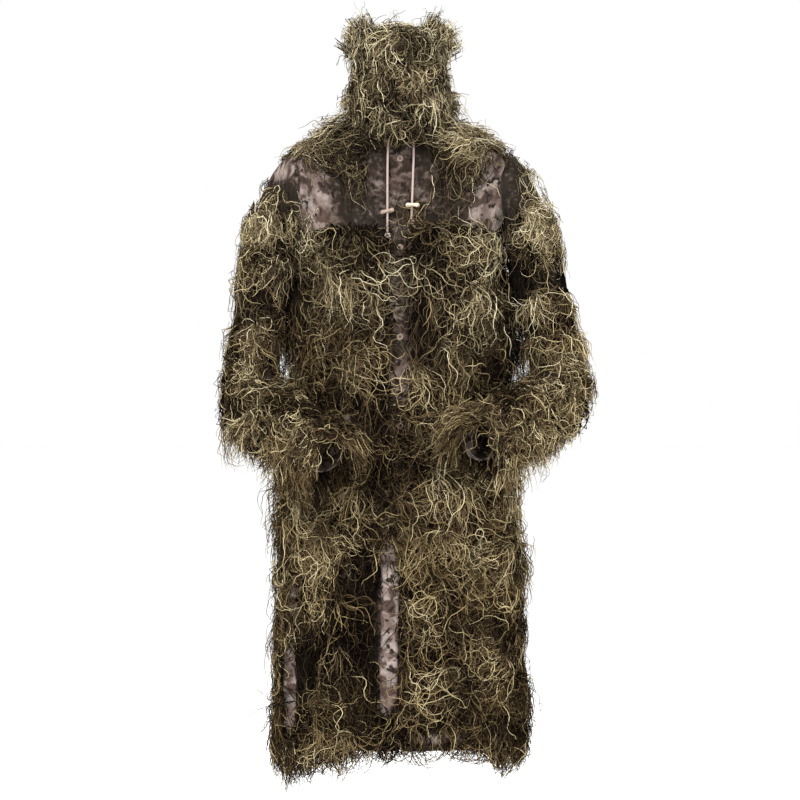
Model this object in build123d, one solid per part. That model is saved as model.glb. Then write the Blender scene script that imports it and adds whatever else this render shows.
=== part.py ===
"""A long hooded ghillie coat, worn size, in millimetres.

Frame: origin at the base of the neck, where the coat rests on the shoulders.
+Z up, -Y the front, +X the wearer's left. The panels are sewn cloth with a net
backing. The jute pads are the thickness of the threads that are tied to them.
"""

from build123d import *

import os
from math import cos, radians, sin, tan

# ---------------------------------------------------------------- driving sizes
CLOTH = 3.0  # cloth with its net backing
GAP = 0.5  # between a panel and what lies on it
SEAM = 0.25  # half the space between two panels of the coat
JUTE = 20.0  # how far the threads stand off the coat
HEM_Z = -1196.0  # lower edge of the cloth
FRINGE_Z = -1290.0  # lowest threads
YOKE_Z = -156.0  # lower edge of the chest yoke
SKIRT_Z = -700.0  # below here the fronts are open and swing

# Coat sections: height, half width, half depth.
COAT = [
    (HEM_Z, 242, 156),
    (-950, 236, 150),
    (SKIRT_Z, 222, 138),
    (-480, 198, 126),
    (-300, 188, 124),
    (YOKE_Z, 186, 122),
    (-80, 188, 117),
    (-27, 190, 112),
]
SHOULDER = [(-26, 226, 112), (-8, 205, 104), (12, 160, 94), (35, 92, 80)]
COLLAR = [(35.5, 84, 74), (64, 78, 70)]
FRINGE = [(FRINGE_Z, 244, 158), (HEM_Z - 1, 248, 162)]
HOOD = [
    (45, 88, 95),
    (100, 86, 105),
    (160, 88, 112),
    (210, 86, 106),
    (240, 66, 84),
    (256, 30, 45),
]
VEIL = [(20, 100, 130), (225, 100, 130)]

FLY_HALF = 25.0  # half width of the placket
BUTTON_R, BUTTON_PITCH, BUTTON_COUNT, TOP_BUTTON_Z = 6.5, 178.0, 4, -18.0
SIDE_SEAM = 7.75  # degrees that the side seam lies forward of the coat's side

FACE_HALF, FACE_HIGH = 58.0, 212.0  # face opening, which runs down to the neck
EAR_R, EAR_X, EAR_Z = 30.0, 92.0, 254.0  # the two tufted crown corners

CORD_R = 2.2
CORD_EXIT_Z = 12.0  # the first point of each drawcord end, and its outlet
CORD_ROUTE = [(24, -113, CORD_EXIT_Z), (24.5, -115.5, -14), (25, -131, -44)]
CORD_END_Z = {"right": -166.0, "left": -140.0}
TOGGLE_Z = {"right": -124.0, "left": -112.0}
TOGGLE_R, TOGGLE_HALF, TOGGLE_BORE_R = 4.5, 14.0, 2.7

UPPER_R, BALL_R, FOREARM_R, CUFF_R = 48.0, 46.0, 43.0, 44.5
ELBOW_GAP = 48.0  # the upper sleeve stops this far above the elbow
CUFF_LENGTH = 36.0
# Arm points: shoulder, elbow and cuff end. The wearer's right is at -X.
ARMS = {
    "right": (Vector(-240, 5, -82), Vector(-305, -40, -500), Vector(-140, -200, -600)),
    "left": (Vector(240, 5, -82), Vector(326, -40, -492), Vector(150, -202, -576)),
}
SIDES = {"right": -1, "left": 1}


# ---------------------------------------------------------------- building blocks
def stack(rows, grow=0.0, close_top=False):
    """A solid through oval sections, each grown by the same amount all round."""
    sections = []
    for i, (z, half_x, half_y) in enumerate(rows):
        lift = grow if close_top and i == len(rows) - 1 else 0.0
        sections.append(Plane.XY.offset(z + lift) * Ellipse(half_x + grow, half_y + grow))
    return loft(sections, ruled=True)


def skin(rows, inner, outer, close_top=False):
    """The shell between two offsets of the same sections."""
    return stack(rows, outer, close_top) - stack(rows, inner, close_top)


def block(x0, x1, y0, y1, z0, z1):
    """A box from its corners."""
    centre = Pos((x0 + x1) / 2, (y0 + y1) / 2, (z0 + z1) / 2)
    return centre * Box(x1 - x0, y1 - y0, z1 - z0)


def wedge(first, last, z0=-1400, z1=400, reach=600):
    """A slice about the Z axis between two angles, in degrees from +X."""
    steps = 4
    angles = [radians(first + (last - first) * i / steps) for i in range(steps + 1)]
    rim = [(reach * cos(a), reach * sin(a)) for a in angles]
    outline = Polyline((0, 0), *rim, close=True)
    return extrude(Plane.XY.offset(z0) * make_face(outline), z1 - z0)


def mirrored(shape):
    """The same piece on the wearer's other side."""
    return mirror(shape, about=Plane.YZ)


def rod(start, end, radius):
    """A cylinder between two points."""
    along = end - start
    seat = Plane(origin=start, z_dir=along.normalized())
    return seat * Cylinder(
        radius, along.length, align=(Align.CENTER, Align.CENTER, Align.MIN)
    )


def half_space(point, normal, reach=700):
    """Everything on the normal's side of a plane, within reach."""
    seat = Plane(origin=point, z_dir=normal)
    return seat * Box(reach, reach, reach, align=(Align.CENTER, Align.CENTER, Align.MIN))


def ball(centre, radius):
    """A sphere at a point."""
    return Pos(*centre) * Sphere(radius)


def save(name, shape):
    """Writes one node."""
    solids = shape.solids() if not isinstance(shape, list) else shape
    export_step(Compound(children=list(solids)), f"parts/{name}.step")


# ---------------------------------------------------------------- coat body
def coat_panels():
    """Back, side and front panels of the coat, and the chest and back yokes."""
    cloth = skin(COAT, -CLOTH, 0)
    body = cloth & block(-400, 400, -400, 400, HEM_Z, YOKE_Z - SEAM)
    yoke = cloth & block(-400, 400, -400, 400, YOKE_Z + SEAM, -27)
    for side in SIDES:
        armhole = ARMS[side][0]
        yoke -= block(
            armhole.X - 70, armhole.X + 70, armhole.Y - 50, armhole.Y + 50, -140, 0
        )
    panels = {
        "back_panel_centre": body & wedge(62, 118),
        "back_panel_left": body & wedge(15, 61.9),
        "back_yoke": yoke & wedge(5, 175),
    }
    panels["back_panel_right"] = mirrored(panels["back_panel_left"])
    panels["side_panel_left"] = body & wedge(-SIDE_SEAM, 14.9)
    panels["side_panel_right"] = mirrored(panels["side_panel_left"])
    left_front = wedge(270, 360 - SIDE_SEAM - 0.2) & block(3, 400, -400, 0, -1400, 400)
    upper = block(0, 400, -400, 400, SKIRT_Z + 8, YOKE_Z)
    panels["front_panel_left"] = body & left_front & upper
    panels["front_panel_right"] = mirrored(panels["front_panel_left"])
    panels["chest_yoke_left"] = yoke & left_front
    panels["chest_yoke_right"] = mirrored(panels["chest_yoke_left"])
    return panels


def shoulders():
    """The two halves of the shoulder yoke and the stand collar."""
    cap = skin(SHOULDER, -CLOTH, 0)
    left = cap & block(SEAM, 400, -400, 400, -100, 100)
    return {
        "shoulder_yoke_left": left,
        "shoulder_yoke_right": mirrored(left),
        "collar_stand": skin(COLLAR, -CLOTH, 0),
    }


def closure():
    """The placket over the front edges, the stand behind it and the buttons."""
    band = block(-FLY_HALF, FLY_HALF, -400, 0, SKIRT_Z + 8, -28)
    fly_face = GAP + 2
    fly = skin(COAT, GAP, fly_face) & band
    stand = skin(COAT, -CLOTH - GAP - 2, -CLOTH - GAP) & band
    under = stack(COAT, fly_face + 0.1) + stack(SHOULDER, 0.1)
    heights = [TOP_BUTTON_Z - BUTTON_PITCH * i for i in range(BUTTON_COUNT)]
    buttons = []
    for z in heights:
        on_shoulder = z > COAT[-1][0]
        seat_y = -depth_at(SHOULDER, z) if on_shoulder else -depth_at(COAT, z) - fly_face
        buttons.append((sewn_button(seat_y, z) - under).solids()[0])
    return {"fly_placket": fly, "button_stand": stand, "buttons": buttons}


def sewn_button(seat_y, z):
    """A four-hole button, sunk a little into what it is sewn to."""
    lay = Plane(origin=(0, seat_y + 1, z), z_dir=(0, -1, 0))
    button = lay * Cylinder(BUTTON_R, 4.0, align=(Align.CENTER, Align.CENTER, Align.MIN))
    button = fillet(button.edges(), 0.9)
    for hole_x in (-1.6, 1.6):
        for hole_z in (z - 1.6, z + 1.6):
            back = Vector(hole_x, seat_y + 2, hole_z)
            button -= rod(back, back - Vector(0, 8, 0), 0.8)
    return button


def depth_at(rows, z):
    """Half depth of a stack of sections at a height."""
    for (z0, _, y0), (z1, _, y1) in zip(rows, rows[1:]):
        if z0 <= z <= z1:
            return y0 + (y1 - y0) * (z - z0) / (z1 - z0)
    raise ValueError(f"no section at {z}")


def hem():
    """The turned-under hem of the back, and the fringe that hangs under it."""
    band = skin(COAT, -2 * CLOTH - GAP, -CLOTH - GAP)
    band = band & wedge(0, 179.9) & block(-400, 400, -400, 400, HEM_Z, HEM_Z + 30)
    return {
        "hem_band": band,
        "fringe_back": skin(FRINGE, -14, 6) & wedge(2, 178),
    }


def hang_loop():
    """A webbing loop at the nape, seen as a ring from the front."""
    seat = Plane(origin=(0, 63, 44), z_dir=(0, 1, 0))
    return seat * (Cylinder(20, 2.5) - Cylinder(15, 2.5))


def coat_jute():
    """Thread pads of the coat: shoulders, chest, and back."""
    cap = skin(SHOULDER, GAP, JUTE - 2)
    shoulder = cap & block(118, 400, -400, 400, -100, 22)
    pad = skin(COAT, GAP, JUTE)
    front = skin(COAT, 4, JUTE) & block(32, 172, -400, -40, SKIRT_Z + 10, YOKE_Z - 6)
    back = pad & wedge(22, 158) & block(-400, 400, 0, 400, HEM_Z + 4, -60)
    low = block(-400, 400, -20, 400, HEM_Z + 4, -660)
    sides = pad & (wedge(0, 21.9) + wedge(158.1, 180)) & low
    return {
        "jute_shoulder_left": shoulder,
        "jute_shoulder_right": mirrored(shoulder),
        "jute_front_left": front,
        "jute_front_right": mirrored(front),
        "jute_back": back,
        "jute_sides": sides,
    }


# ---------------------------------------------------------------- skirt fronts
def skirt():
    """The lower fronts, which swing from the side seams."""
    seam = 360 - SIDE_SEAM - 0.7
    area = wedge(270, seam) & block(2, 400, -400, 0, HEM_Z, SKIRT_Z)
    left = skin(COAT, -CLOTH, 0) & area
    strip = block(2, 36, -400, 0, HEM_Z + 74, SKIRT_Z)
    underlap = skin(COAT, GAP, GAP + 2) & strip
    placket = skin(COAT, GAP, GAP + 3) & strip
    jute_area = block(44, 400, -400, -70, HEM_Z + 4, SKIRT_Z - 4)
    jute = skin(COAT, GAP, JUTE) & jute_area
    fringe_area = wedge(270.5, 340) & block(4, 400, -400, -60, -1400, 0)
    fringe = skin(FRINGE, -14, 6) & fringe_area
    return {
        "skirt_panel_left": left,
        "skirt_panel_right": mirrored(left),
        "skirt_underlap": underlap,
        "skirt_placket": mirrored(placket),
        "jute_skirt_left": jute,
        "jute_skirt_right": mirrored(jute),
        "fringe_left": fringe,
        "fringe_right": mirrored(fringe),
    }


# ---------------------------------------------------------------- hood and veil
def face_frame(margin):
    """A prism through the face opening, with a round top, grown by a margin."""
    top, low = FACE_HIGH + margin, -40
    centre = (0, -20, (top + low) / 2)
    seat = Plane(origin=centre, x_dir=(1, 0, 0), z_dir=(0, -1, 0))
    outline = RectangleRounded(2 * (FACE_HALF + margin), top - low, 40 + margin)
    return extrude(seat * outline, 200)


def hood():
    """Hood panels, the channel round the face with its cord, and the threads."""
    cloth = skin(HOOD, -CLOTH, 0, close_top=True) - face_frame(0)
    half = 40.0
    side = cloth & block(half + SEAM, 400, -400, 400, 0, 400)
    centre = cloth & block(-half, half, -400, 400, 0, 400)
    band = face_frame(14) - face_frame(1)
    tunnel = face_frame(11) - face_frame(4)
    channel = skin(HOOD, GAP, 7, True) & band
    channel -= skin(HOOD, 1.5, 6, True) & tunnel
    cord = skin(HOOD, 2, 5.5, True) & (face_frame(9.5) - face_frame(6))
    pad = skin(HOOD, GAP, JUTE, True) & block(-200, 200, -200, 200, 50, 400)
    pad -= block(-95, 95, -300, -30, 0, 236)
    for x in (-EAR_X, EAR_X):
        pad += Pos(x, 5, EAR_Z) * Sphere(EAR_R) - stack(HOOD, GAP, True)
    return {
        "hood_side_left": side,
        "hood_side_right": mirrored(side),
        "hood_centre": centre,
        "hood_channel": channel,
        "hood_drawcord": cord,
        "jute_hood": pad,
    }


def veil():
    """The face net and the threads tied to it."""
    area = block(-78, 78, -400, -60, 20, 225)
    return {
        "veil_net": skin(VEIL, 0, 2) & area,
        "jute_veil": skin(VEIL, 2 + GAP, JUTE) & area,
    }


# ---------------------------------------------------------------- sleeves
def outward(side, along):
    """The direction across an arm that points away from the coat."""
    hint = Vector(SIDES[side], 0, -0.25)
    return (hint - along * hint.dot(along)).normalized()


def sleeve(side):
    """One sleeve: upper part, forearm, cuff and tab, and their threads."""
    sign = SIDES[side]
    shoulder, elbow, cuff = ARMS[side]
    down, fore = (elbow - shoulder).normalized(), (cuff - elbow).normalized()
    upper_end = elbow - down * ELBOW_GAP
    head = ball(shoulder, UPPER_R) & half_space(shoulder, -down)
    head_bore = ball(shoulder, UPPER_R - CLOTH) + rod(
        shoulder, upper_end, UPPER_R - CLOTH
    )
    upper = head + rod(shoulder, upper_end, UPPER_R) - head_bore
    upper -= half_space(shoulder - Vector(sign * 25, 0, 0), Vector(-sign, 0, 0), 160)

    forearm_end = cuff - fore * (CUFF_LENGTH + GAP)
    forearm = ball(elbow, BALL_R) + rod(elbow, forearm_end, FOREARM_R)
    forearm -= ball(elbow, BALL_R - CLOTH) + rod(
        elbow, forearm_end, FOREARM_R - CLOTH
    )
    forearm -= rod(elbow, elbow - down * 80, 36)

    cuff_start = cuff - fore * CUFF_LENGTH
    band = rod(cuff_start, cuff, CUFF_R) - rod(cuff_start, cuff, CUFF_R - CLOTH)
    tab_zone = rod(cuff_start + fore * 6, cuff - fore * 6, CUFF_R + 3)
    tab_zone -= rod(cuff_start, cuff, CUFF_R + GAP)
    out = outward(side, fore)
    tab = tab_zone & half_space(elbow + out * 36, out)

    upper_out = outward(side, down)
    jute_upper = rod(shoulder + down * 22, upper_end, UPPER_R + JUTE - 2)
    jute_upper -= rod(shoulder, elbow, UPPER_R + GAP)
    jute_upper &= half_space(shoulder, upper_out, 1100)
    jute_fore = rod(elbow + fore * 44, cuff_start, FOREARM_R + JUTE - 4)
    jute_fore -= rod(elbow, cuff, FOREARM_R + GAP)
    jute_fore &= half_space(elbow, out)
    return {
        f"upper_sleeve_{side}": upper,
        f"forearm_sleeve_{side}": forearm,
        f"cuff_{side}": band,
        f"cuff_tab_{side}": tab,
        f"jute_upper_{side}": jute_upper,
        f"jute_forearm_{side}": jute_fore,
    }


# ---------------------------------------------------------------- drawcord ends
def route(side):
    """Points that a drawcord end follows, from its outlet to its knot."""
    sign = SIDES[side]
    points = [Vector(sign * x, y, z) for x, y, z in CORD_ROUTE]
    last = points[-1]
    return [*points, Vector(last.X, last.Y, CORD_END_Z[side])]


def corner_radii(points):
    """The widest arc that each corner has room for."""
    radii = []
    for before, corner, after in zip(points, points[1:], points[2:]):
        turn = radians((corner - before).get_angle(after - corner))
        shorter = min((corner - before).length, (after - corner).length)
        radii.append(0.45 * shorter / tan(turn / 2))
    return radii


def drawcords():
    """Both cord ends with their outlets, knots and sliding toggles."""
    made, outlets, knots = {}, [], []
    for side, sign in SIDES.items():
        points = route(side)
        radii = corner_radii(points)
        print(side, "cord radii", [round(r, 1) for r in radii])
        line = FilletPolyline(*points, radius=radii)
        start = Plane(origin=line @ 0, z_dir=line % 0)
        made[f"drawcord_{side}"] = sweep(start * Circle(CORD_R), path=line)
        x, y, _ = points[0]
        tail = (points[1] - points[0]).normalized()
        seat = Plane(origin=points[0], z_dir=-tail)
        ferrule = seat * Cylinder(
            5.0, 9.0, align=(Align.CENTER, Align.CENTER, Align.MIN)
        )
        tongue = block(x - 5, x + 5, y, y + 30, CORD_EXIT_Z, CORD_EXIT_Z + 9)
        outlet = ferrule + tongue - stack(SHOULDER, GAP)
        outlet -= seat * Cylinder(
            CORD_R + 0.3, 8.0, align=(Align.CENTER, Align.CENTER, Align.MIN)
        )
        outlets.append(outlet.solids().sort_by(SortBy.VOLUME)[-1])
        end = points[-1]
        knot = ball(end - Vector(0, 0, 3.2), 4.6) + ball(end - Vector(0, 0, 9.5), 4.0)
        knots.append((knot & half_space(end, Vector(0, 0, -1))).solids()[0])
        centre = Vector(end.X, end.Y, TOGGLE_Z[side])
        barrel = rod(
            centre - Vector(TOGGLE_HALF, 0, 0), centre + Vector(TOGGLE_HALF, 0, 0), TOGGLE_R
        )
        barrel = fillet(barrel.edges().filter_by(GeomType.CIRCLE), 1.2)
        barrel -= rod(centre - Vector(0, 0, 9), centre + Vector(0, 0, 9), TOGGLE_BORE_R)
        made[f"toggle_{side}"] = barrel
    made["cord_outlets"], made["cord_knots"] = outlets, knots
    return made


# ---------------------------------------------------------------- all nodes
def main():
    """Writes every node of the coat."""
    os.makedirs("parts", exist_ok=True)
    nodes = {"hang_loop": hang_loop()}
    groups = [coat_panels, shoulders, closure, hem, coat_jute, skirt, hood, veil]
    for group in [*groups, drawcords]:
        nodes.update(group())
    for side in SIDES:
        nodes.update(sleeve(side))
    for name, shape in nodes.items():
        save(name, shape)
    print(len(nodes), "nodes")


main()
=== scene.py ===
"""A long hooded ghillie coat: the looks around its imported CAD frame.

Metres, +Z up, -Y the front, +X the wearer's left. The cloth panels hang in soft
folds. Every tuft of jute is a bunch of thin tubes that leave a knot on the cloth,
fall under gravity, curl, and rest on what is under them.
"""

import bpy
import numpy as np
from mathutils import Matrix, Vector


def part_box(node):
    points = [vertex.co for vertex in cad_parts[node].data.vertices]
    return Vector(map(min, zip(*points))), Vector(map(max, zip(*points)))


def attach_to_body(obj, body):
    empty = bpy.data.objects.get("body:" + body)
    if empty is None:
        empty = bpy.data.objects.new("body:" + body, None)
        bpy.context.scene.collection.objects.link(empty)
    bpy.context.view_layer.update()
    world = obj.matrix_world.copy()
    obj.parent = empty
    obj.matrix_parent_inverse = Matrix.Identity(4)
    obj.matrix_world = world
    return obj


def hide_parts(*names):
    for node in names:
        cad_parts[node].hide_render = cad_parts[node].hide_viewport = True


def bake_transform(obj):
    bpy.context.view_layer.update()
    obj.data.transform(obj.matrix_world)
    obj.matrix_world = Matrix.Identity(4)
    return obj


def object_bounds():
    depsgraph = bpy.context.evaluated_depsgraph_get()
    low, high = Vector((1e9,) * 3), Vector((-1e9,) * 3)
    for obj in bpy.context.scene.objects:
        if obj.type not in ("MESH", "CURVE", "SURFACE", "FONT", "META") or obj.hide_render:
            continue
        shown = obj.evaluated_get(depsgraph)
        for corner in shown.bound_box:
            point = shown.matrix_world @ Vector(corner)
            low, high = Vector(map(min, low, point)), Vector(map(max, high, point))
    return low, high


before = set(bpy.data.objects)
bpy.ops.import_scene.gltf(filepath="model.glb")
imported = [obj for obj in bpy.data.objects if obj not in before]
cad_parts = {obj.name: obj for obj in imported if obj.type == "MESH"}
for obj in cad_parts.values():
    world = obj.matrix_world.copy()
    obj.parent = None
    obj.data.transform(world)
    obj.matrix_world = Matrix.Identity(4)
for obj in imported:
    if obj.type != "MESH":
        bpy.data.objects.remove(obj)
cad_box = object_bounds()
BOX_LOW, BOX_HIGH = np.array(cad_box[0]), np.array(cad_box[1])
ROOM = 0.03 * (BOX_HIGH - BOX_LOW) + 0.007  # how far loose threads may reach past the solid parts

# ---------------------------------------------------------------- driving sizes
HEM_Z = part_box("hem_band")[0].z
YOKE_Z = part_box("chest_yoke_left")[0].z
SKIRT_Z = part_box("skirt_panel_left")[1].z
COLLAR_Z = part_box("collar_stand")[1].z
FRINGE_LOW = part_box("fringe_back")[0].z
FLOOR_Z = -1.53  # the ground under a wearer
SKIRT_BLEND = ((0, 0, SKIRT_Z + 0.08), (0, 0, SKIRT_Z - 0.20))  # two points at and below the top of a skirt

# Sections of the cloth: height, half width, half depth.
COAT = np.array(
    [
        (HEM_Z, 0.242, 0.156),
        (-0.950, 0.236, 0.150),
        (SKIRT_Z, 0.222, 0.138),
        (-0.480, 0.198, 0.126),
        (-0.300, 0.188, 0.124),
        (YOKE_Z, 0.188, 0.122),
        (-0.080, 0.192, 0.117),
        (-0.027, 0.200, 0.110),
        (-0.006, 0.194, 0.103),
        (0.014, 0.158, 0.094),
        (0.035, 0.092, 0.080),
        (COLLAR_Z, 0.078, 0.070),
    ]
)
YOKE = np.array(
    [
        (YOKE_Z - 0.004, 0.212, 0.1235),
        (-0.080, 0.220, 0.119),
        (-0.026, 0.219, 0.112),
        (-0.004, 0.206, 0.104),
        (0.016, 0.160, 0.095),
        (0.036, 0.094, 0.081),
    ]
)
SIDE_TURN = 1.36  # how far round from the front centre the side seam is, in radians
BACK_TURN = 2.0  # the same for the back panel's edge
ARMHOLE_TURN = 1.34
YOKE_TOP_Z = 0.036
PANEL_LIFT = -0.0012  # the panels lie just under their sections
COAT_RADIUS = 0.17  # a middling one, to space points round the coat
HOOD_CENTRE_Z, HOOD_HALF = 0.135, np.array([0.082, 0.112, 0.112])
HOOD_BASE_Z = 0.045
NAPE_Z = (0.042, 0.064)  # where the hood joins the collar
FACE_HALF, FACE_TOP = 0.058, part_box("hood_channel")[1].z - 0.014
ARMS = {
    "right": np.array([(-0.240, 0.005, -0.082), (-0.305, -0.040, -0.500), (-0.140, -0.200, -0.600)]),
    "left": np.array([(0.240, 0.005, -0.082), (0.326, -0.040, -0.492), (0.150, -0.202, -0.576)]),
}
SIDES = {"right": -1, "left": 1}
SLEEVE_R = (0.050, 0.047, 0.043)  # at the shoulder, the elbow and the cuff
ELBOW_BEND = 0.10  # how far from the elbow the sleeve starts to curve
SLEEVE_SIDES = 48  # points round a sleeve's cloth
CUFF_LENGTH = 0.036
CUFF_R = 0.0445
PLACKET_LIFT = 0.0036  # how far the placket's face stands off the fronts
SLEEVE_ROWS = {  # where rows of tufts start: shares of the upper arm, then of the forearm
    "right": ((0.12, 0.32, 0.67, 0.87), (0.06, 0.30, 0.55, 0.80)),
    "left": ((0.12, 0.24, 0.52, 0.72, 0.90), (0.06, 0.30, 0.55, 0.80)),
}
HEAD_TOP = {"right": -0.060, "left": 0.002}  # the highest tufts on each sleeve
DOWN = np.array([0.0, 0.0, -1.0])

# Where the suit is lighter or darker, as seen from the front, partly from the threads' own tone and
# partly painted light and painted shade, such as the dark gaps between the arms and the coat: x, z,
# reach, change of tone.
TONE_AND_SHADE_SPOTS = [
    (0.04, 0.20, 0.10, 0.12), (0.00, 0.06, 0.07, -0.06), (-0.20, 0.02, 0.09, 0.10),
    (0.13, 0.05, 0.09, 0.08), (-0.31, -0.14, 0.07, 0.20), (-0.29, -0.40, 0.08, 0.08),
    (0.29, -0.13, 0.08, 0.24), (0.13, -0.22, 0.06, 0.12), (0.34, -0.38, 0.09, 0.20),
    (0.14, -0.32, 0.09, 0.16), (-0.04, -0.30, 0.06, 0.12), (-0.16, -0.26, 0.07, -0.10),
    (-0.24, -0.60, 0.08, -0.04), (0.26, -0.56, 0.12, 0.15), (-0.16, -0.80, 0.07, 0.12),
    (-0.18, -1.10, 0.10, -0.16), (0.20, -0.80, 0.12, 0.08),
    (-0.09, -0.18, 0.06, -0.22), (0.09, -0.20, 0.06, -0.26),
    (0.22, -0.25, 0.05, -0.34), (0.20, -0.46, 0.08, -0.34),
    (-0.22, -0.27, 0.03, -0.26), (-0.16, -0.48, 0.06, -0.24),
    (0.00, -0.66, 0.09, -0.18), (-0.085, -0.98, 0.08, -0.46),
    (-0.085, -0.84, 0.06, -0.34), (0.24, -1.00, 0.06, -0.14),
    (0.22, -1.16, 0.08, -0.22), (0.10, -0.95, 0.12, -0.04),
    (-0.20, -0.98, 0.05, -0.12),
]

# Where the front's cloth shows between the threads: x, z, half width, half height.
BARE_SPOTS = [
    (0.0, -0.36, 0.012, 0.22), (-0.021, -0.965, 0.019, 0.175),
    (-0.104, -0.55, 0.010, 0.035), (-0.103, -0.84, 0.010, 0.022),
    (-0.213, -0.89, 0.011, 0.050), (-0.222, -1.08, 0.013, 0.095),
    (0.075, -1.172, 0.060, 0.013),
]

# How far out loose threads reach: height, to the wearer's right, to the wearer's left.
SIDE_REACH = np.array(
    [
        (-1.290, 0.256, 0.250), (-1.180, 0.268, 0.262), (-1.130, 0.276, 0.266),
        (-1.050, 0.268, 0.252), (-0.800, 0.268, 0.250), (-0.760, 0.256, 0.246),
        (-0.690, 0.256, 0.248), (-0.675, 0.334, 0.255), (-0.640, 0.348, 0.300),
        (-0.580, 0.360, 0.352), (-0.500, 0.364, 0.398), (-0.390, 0.360, 0.402),
        (-0.330, 0.330, 0.352), (-0.260, 0.340, 0.328), (-0.150, 0.326, 0.316),
        (-0.070, 0.274, 0.288), (0.000, 0.246, 0.246), (0.025, 0.222, 0.225),
        (0.055, 0.195, 0.205), (0.080, 0.155, 0.180), (0.095, 0.128, 0.132),
        (0.120, 0.112, 0.126), (0.150, 0.096, 0.100), (0.180, 0.098, 0.102),
        (0.205, 0.132, 0.138), (0.250, 0.132, 0.128), (0.290, 0.118, 0.112),
    ]
)

# How low the threads hang under the hem: x and z.
FRINGE_ENDS = np.array(
    [
        (-0.26, -1.240), (-0.23, -1.290), (-0.19, -1.290), (-0.16, -1.240),
        (-0.12, -1.275), (-0.10, -1.238), (0.00, -1.224), (0.10, -1.232),
        (0.17, -1.224), (0.20, -1.270), (0.24, -1.250), (0.27, -1.215),
    ]
)

# Hanks on the hood: place, the way they leave it, threads, lengths, how far they stand off.
HOOD_HANKS = [
    ((-0.066, -0.03, 0.240), (-0.5, -0.3, 1.0), 200, (0.040, 0.070), 0.046),
    ((-0.086, -0.02, 0.226), (-1.0, -0.3, 0.8), 200, (0.035, 0.065), 0.050),
    ((-0.080, 0.02, 0.222), (-0.8, 0.3, 0.8), 90, (0.035, 0.060), 0.036),
    ((-0.108, -0.05, 0.208), (-0.6, -0.4, -0.2), 45, (0.050, 0.070), 0.036),
    ((0.060, -0.03, 0.242), (0.4, -0.3, 1.0), 200, (0.040, 0.070), 0.046),
    ((0.086, -0.02, 0.228), (1.0, -0.3, 0.7), 200, (0.035, 0.060), 0.052),
    ((0.100, -0.02, 0.212), (1.0, -0.2, 0.4), 90, (0.035, 0.055), 0.052),
    ((0.080, 0.02, 0.222), (0.8, 0.3, 0.8), 90, (0.035, 0.060), 0.036),
    ((0.092, -0.04, 0.150), (1.0, -0.3, 0.2), 60, (0.035, 0.060), 0.028),
    ((-0.088, -0.04, 0.115), (-1.0, -0.4, 0.1), 110, (0.050, 0.090), 0.036),
    ((0.088, -0.03, 0.110), (1.0, -0.3, 0.1), 110, (0.050, 0.090), 0.036),
    ((-0.090, 0.03, 0.105), (-1.0, 0.3, 0.1), 80, (0.050, 0.090), 0.034),
    ((0.090, 0.03, 0.105), (1.0, 0.3, 0.1), 80, (0.050, 0.090), 0.034),
]
FREE_HOOD_HANK = 3  # the low one on the wearer's right may reach past the outline
KNOTS_PER_HANK = 9
# The same on the shoulders beside the hood.
SHOULDER_HANKS = [
    ((0.112, -0.045, 0.046), (0.3, -0.5, 1.0), 170, (0.060, 0.100), 0.026),
    ((0.146, -0.030, 0.036), (0.4, -0.4, 1.0), 170, (0.060, 0.100), 0.028),
    ((0.176, -0.010, 0.020), (0.5, -0.3, 0.9), 120, (0.060, 0.090), 0.022),
    ((0.130, 0.040, 0.034), (0.3, 0.5, 1.0), 110, (0.060, 0.100), 0.026),
    ((-0.112, -0.045, 0.046), (-0.3, -0.5, 1.0), 150, (0.060, 0.100), 0.026),
    ((-0.148, -0.030, 0.034), (-0.4, -0.4, 1.0), 120, (0.060, 0.090), 0.022),
    ((-0.130, 0.040, 0.034), (-0.3, 0.5, 1.0), 110, (0.060, 0.100), 0.026),
]
# Hanks on the coat, at the hip, by the hem and under the arms: turn, height, stand-off.
COAT_HANKS = [
    (-1.42, -0.66, 0.034), (-1.50, -0.72, 0.030), (-1.30, -1.10, 0.026), (1.35, -1.06, 0.020),
    (1.48, -0.80, 0.018), (-1.55, -0.94, 0.012), (1.50, -0.24, 0.040), (1.45, -0.29, 0.052),
    (1.60, -0.33, 0.052), (1.50, -0.38, 0.050), (-1.50, -0.27, 0.040), (-1.45, -0.33, 0.040),
]
# Hanks on the sleeves: side, upper arm or forearm, share of its length, the way they leave it.
SLEEVE_HANKS = [
    ("left", 1, 0.05, (1, 0.1, -0.6)),
    ("right", 1, 0.02, (-1, 0, -0.4)),
    ("left", 0, 0.25, (1, 0, 0.3)),
    ("right", 0, 0.45, (-1, -0.2, 0.2)),
    ("left", 1, 0.5, (0.1, -0.6, -1)),
    ("right", 1, 0.5, (0, -0.6, -1)),
]
# Where the chest yokes and the shoulders stay bare: lowest and highest x, then z.
YOKE_PATCHES = [
    (-0.236, -0.196, -0.162, -0.012),
    (-0.200, -0.122, -0.150, -0.062),
    (0.176, 0.234, -0.162, 0.002),
    (0.070, 0.176, -0.160, -0.124),
]


# ---------------------------------------------------------------- maths helpers
def bare(p):
    """From 0 to 1, how bare of threads the coat's cloth is at each point."""
    amount = np.zeros(p.shape[:-1])
    for x, z, wide, high in BARE_SPOTS:
        off = ((p[..., 0] - x) / wide) ** 4 + ((p[..., 2] - z) / high) ** 4
        amount = np.maximum(amount, 1 - smooth(0.5, 1.6, off))
    return np.where(p[..., 1] < 0, amount, 0)


def unit(v):
    """Vectors scaled to length 1."""
    return v / np.maximum(np.linalg.norm(v, axis=-1, keepdims=True), 1e-9)


def smooth(low, high, value):
    """0 below low, 1 above high, and an even ramp between."""
    t = np.clip((value - low) / (high - low), 0, 1)
    return t * t * (3 - 2 * t)


def section(rows, z):
    """Half width and half depth of a stack of sections at heights z."""
    return np.interp(z, rows[:, 0], rows[:, 1]), np.interp(z, rows[:, 0], rows[:, 2])


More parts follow.
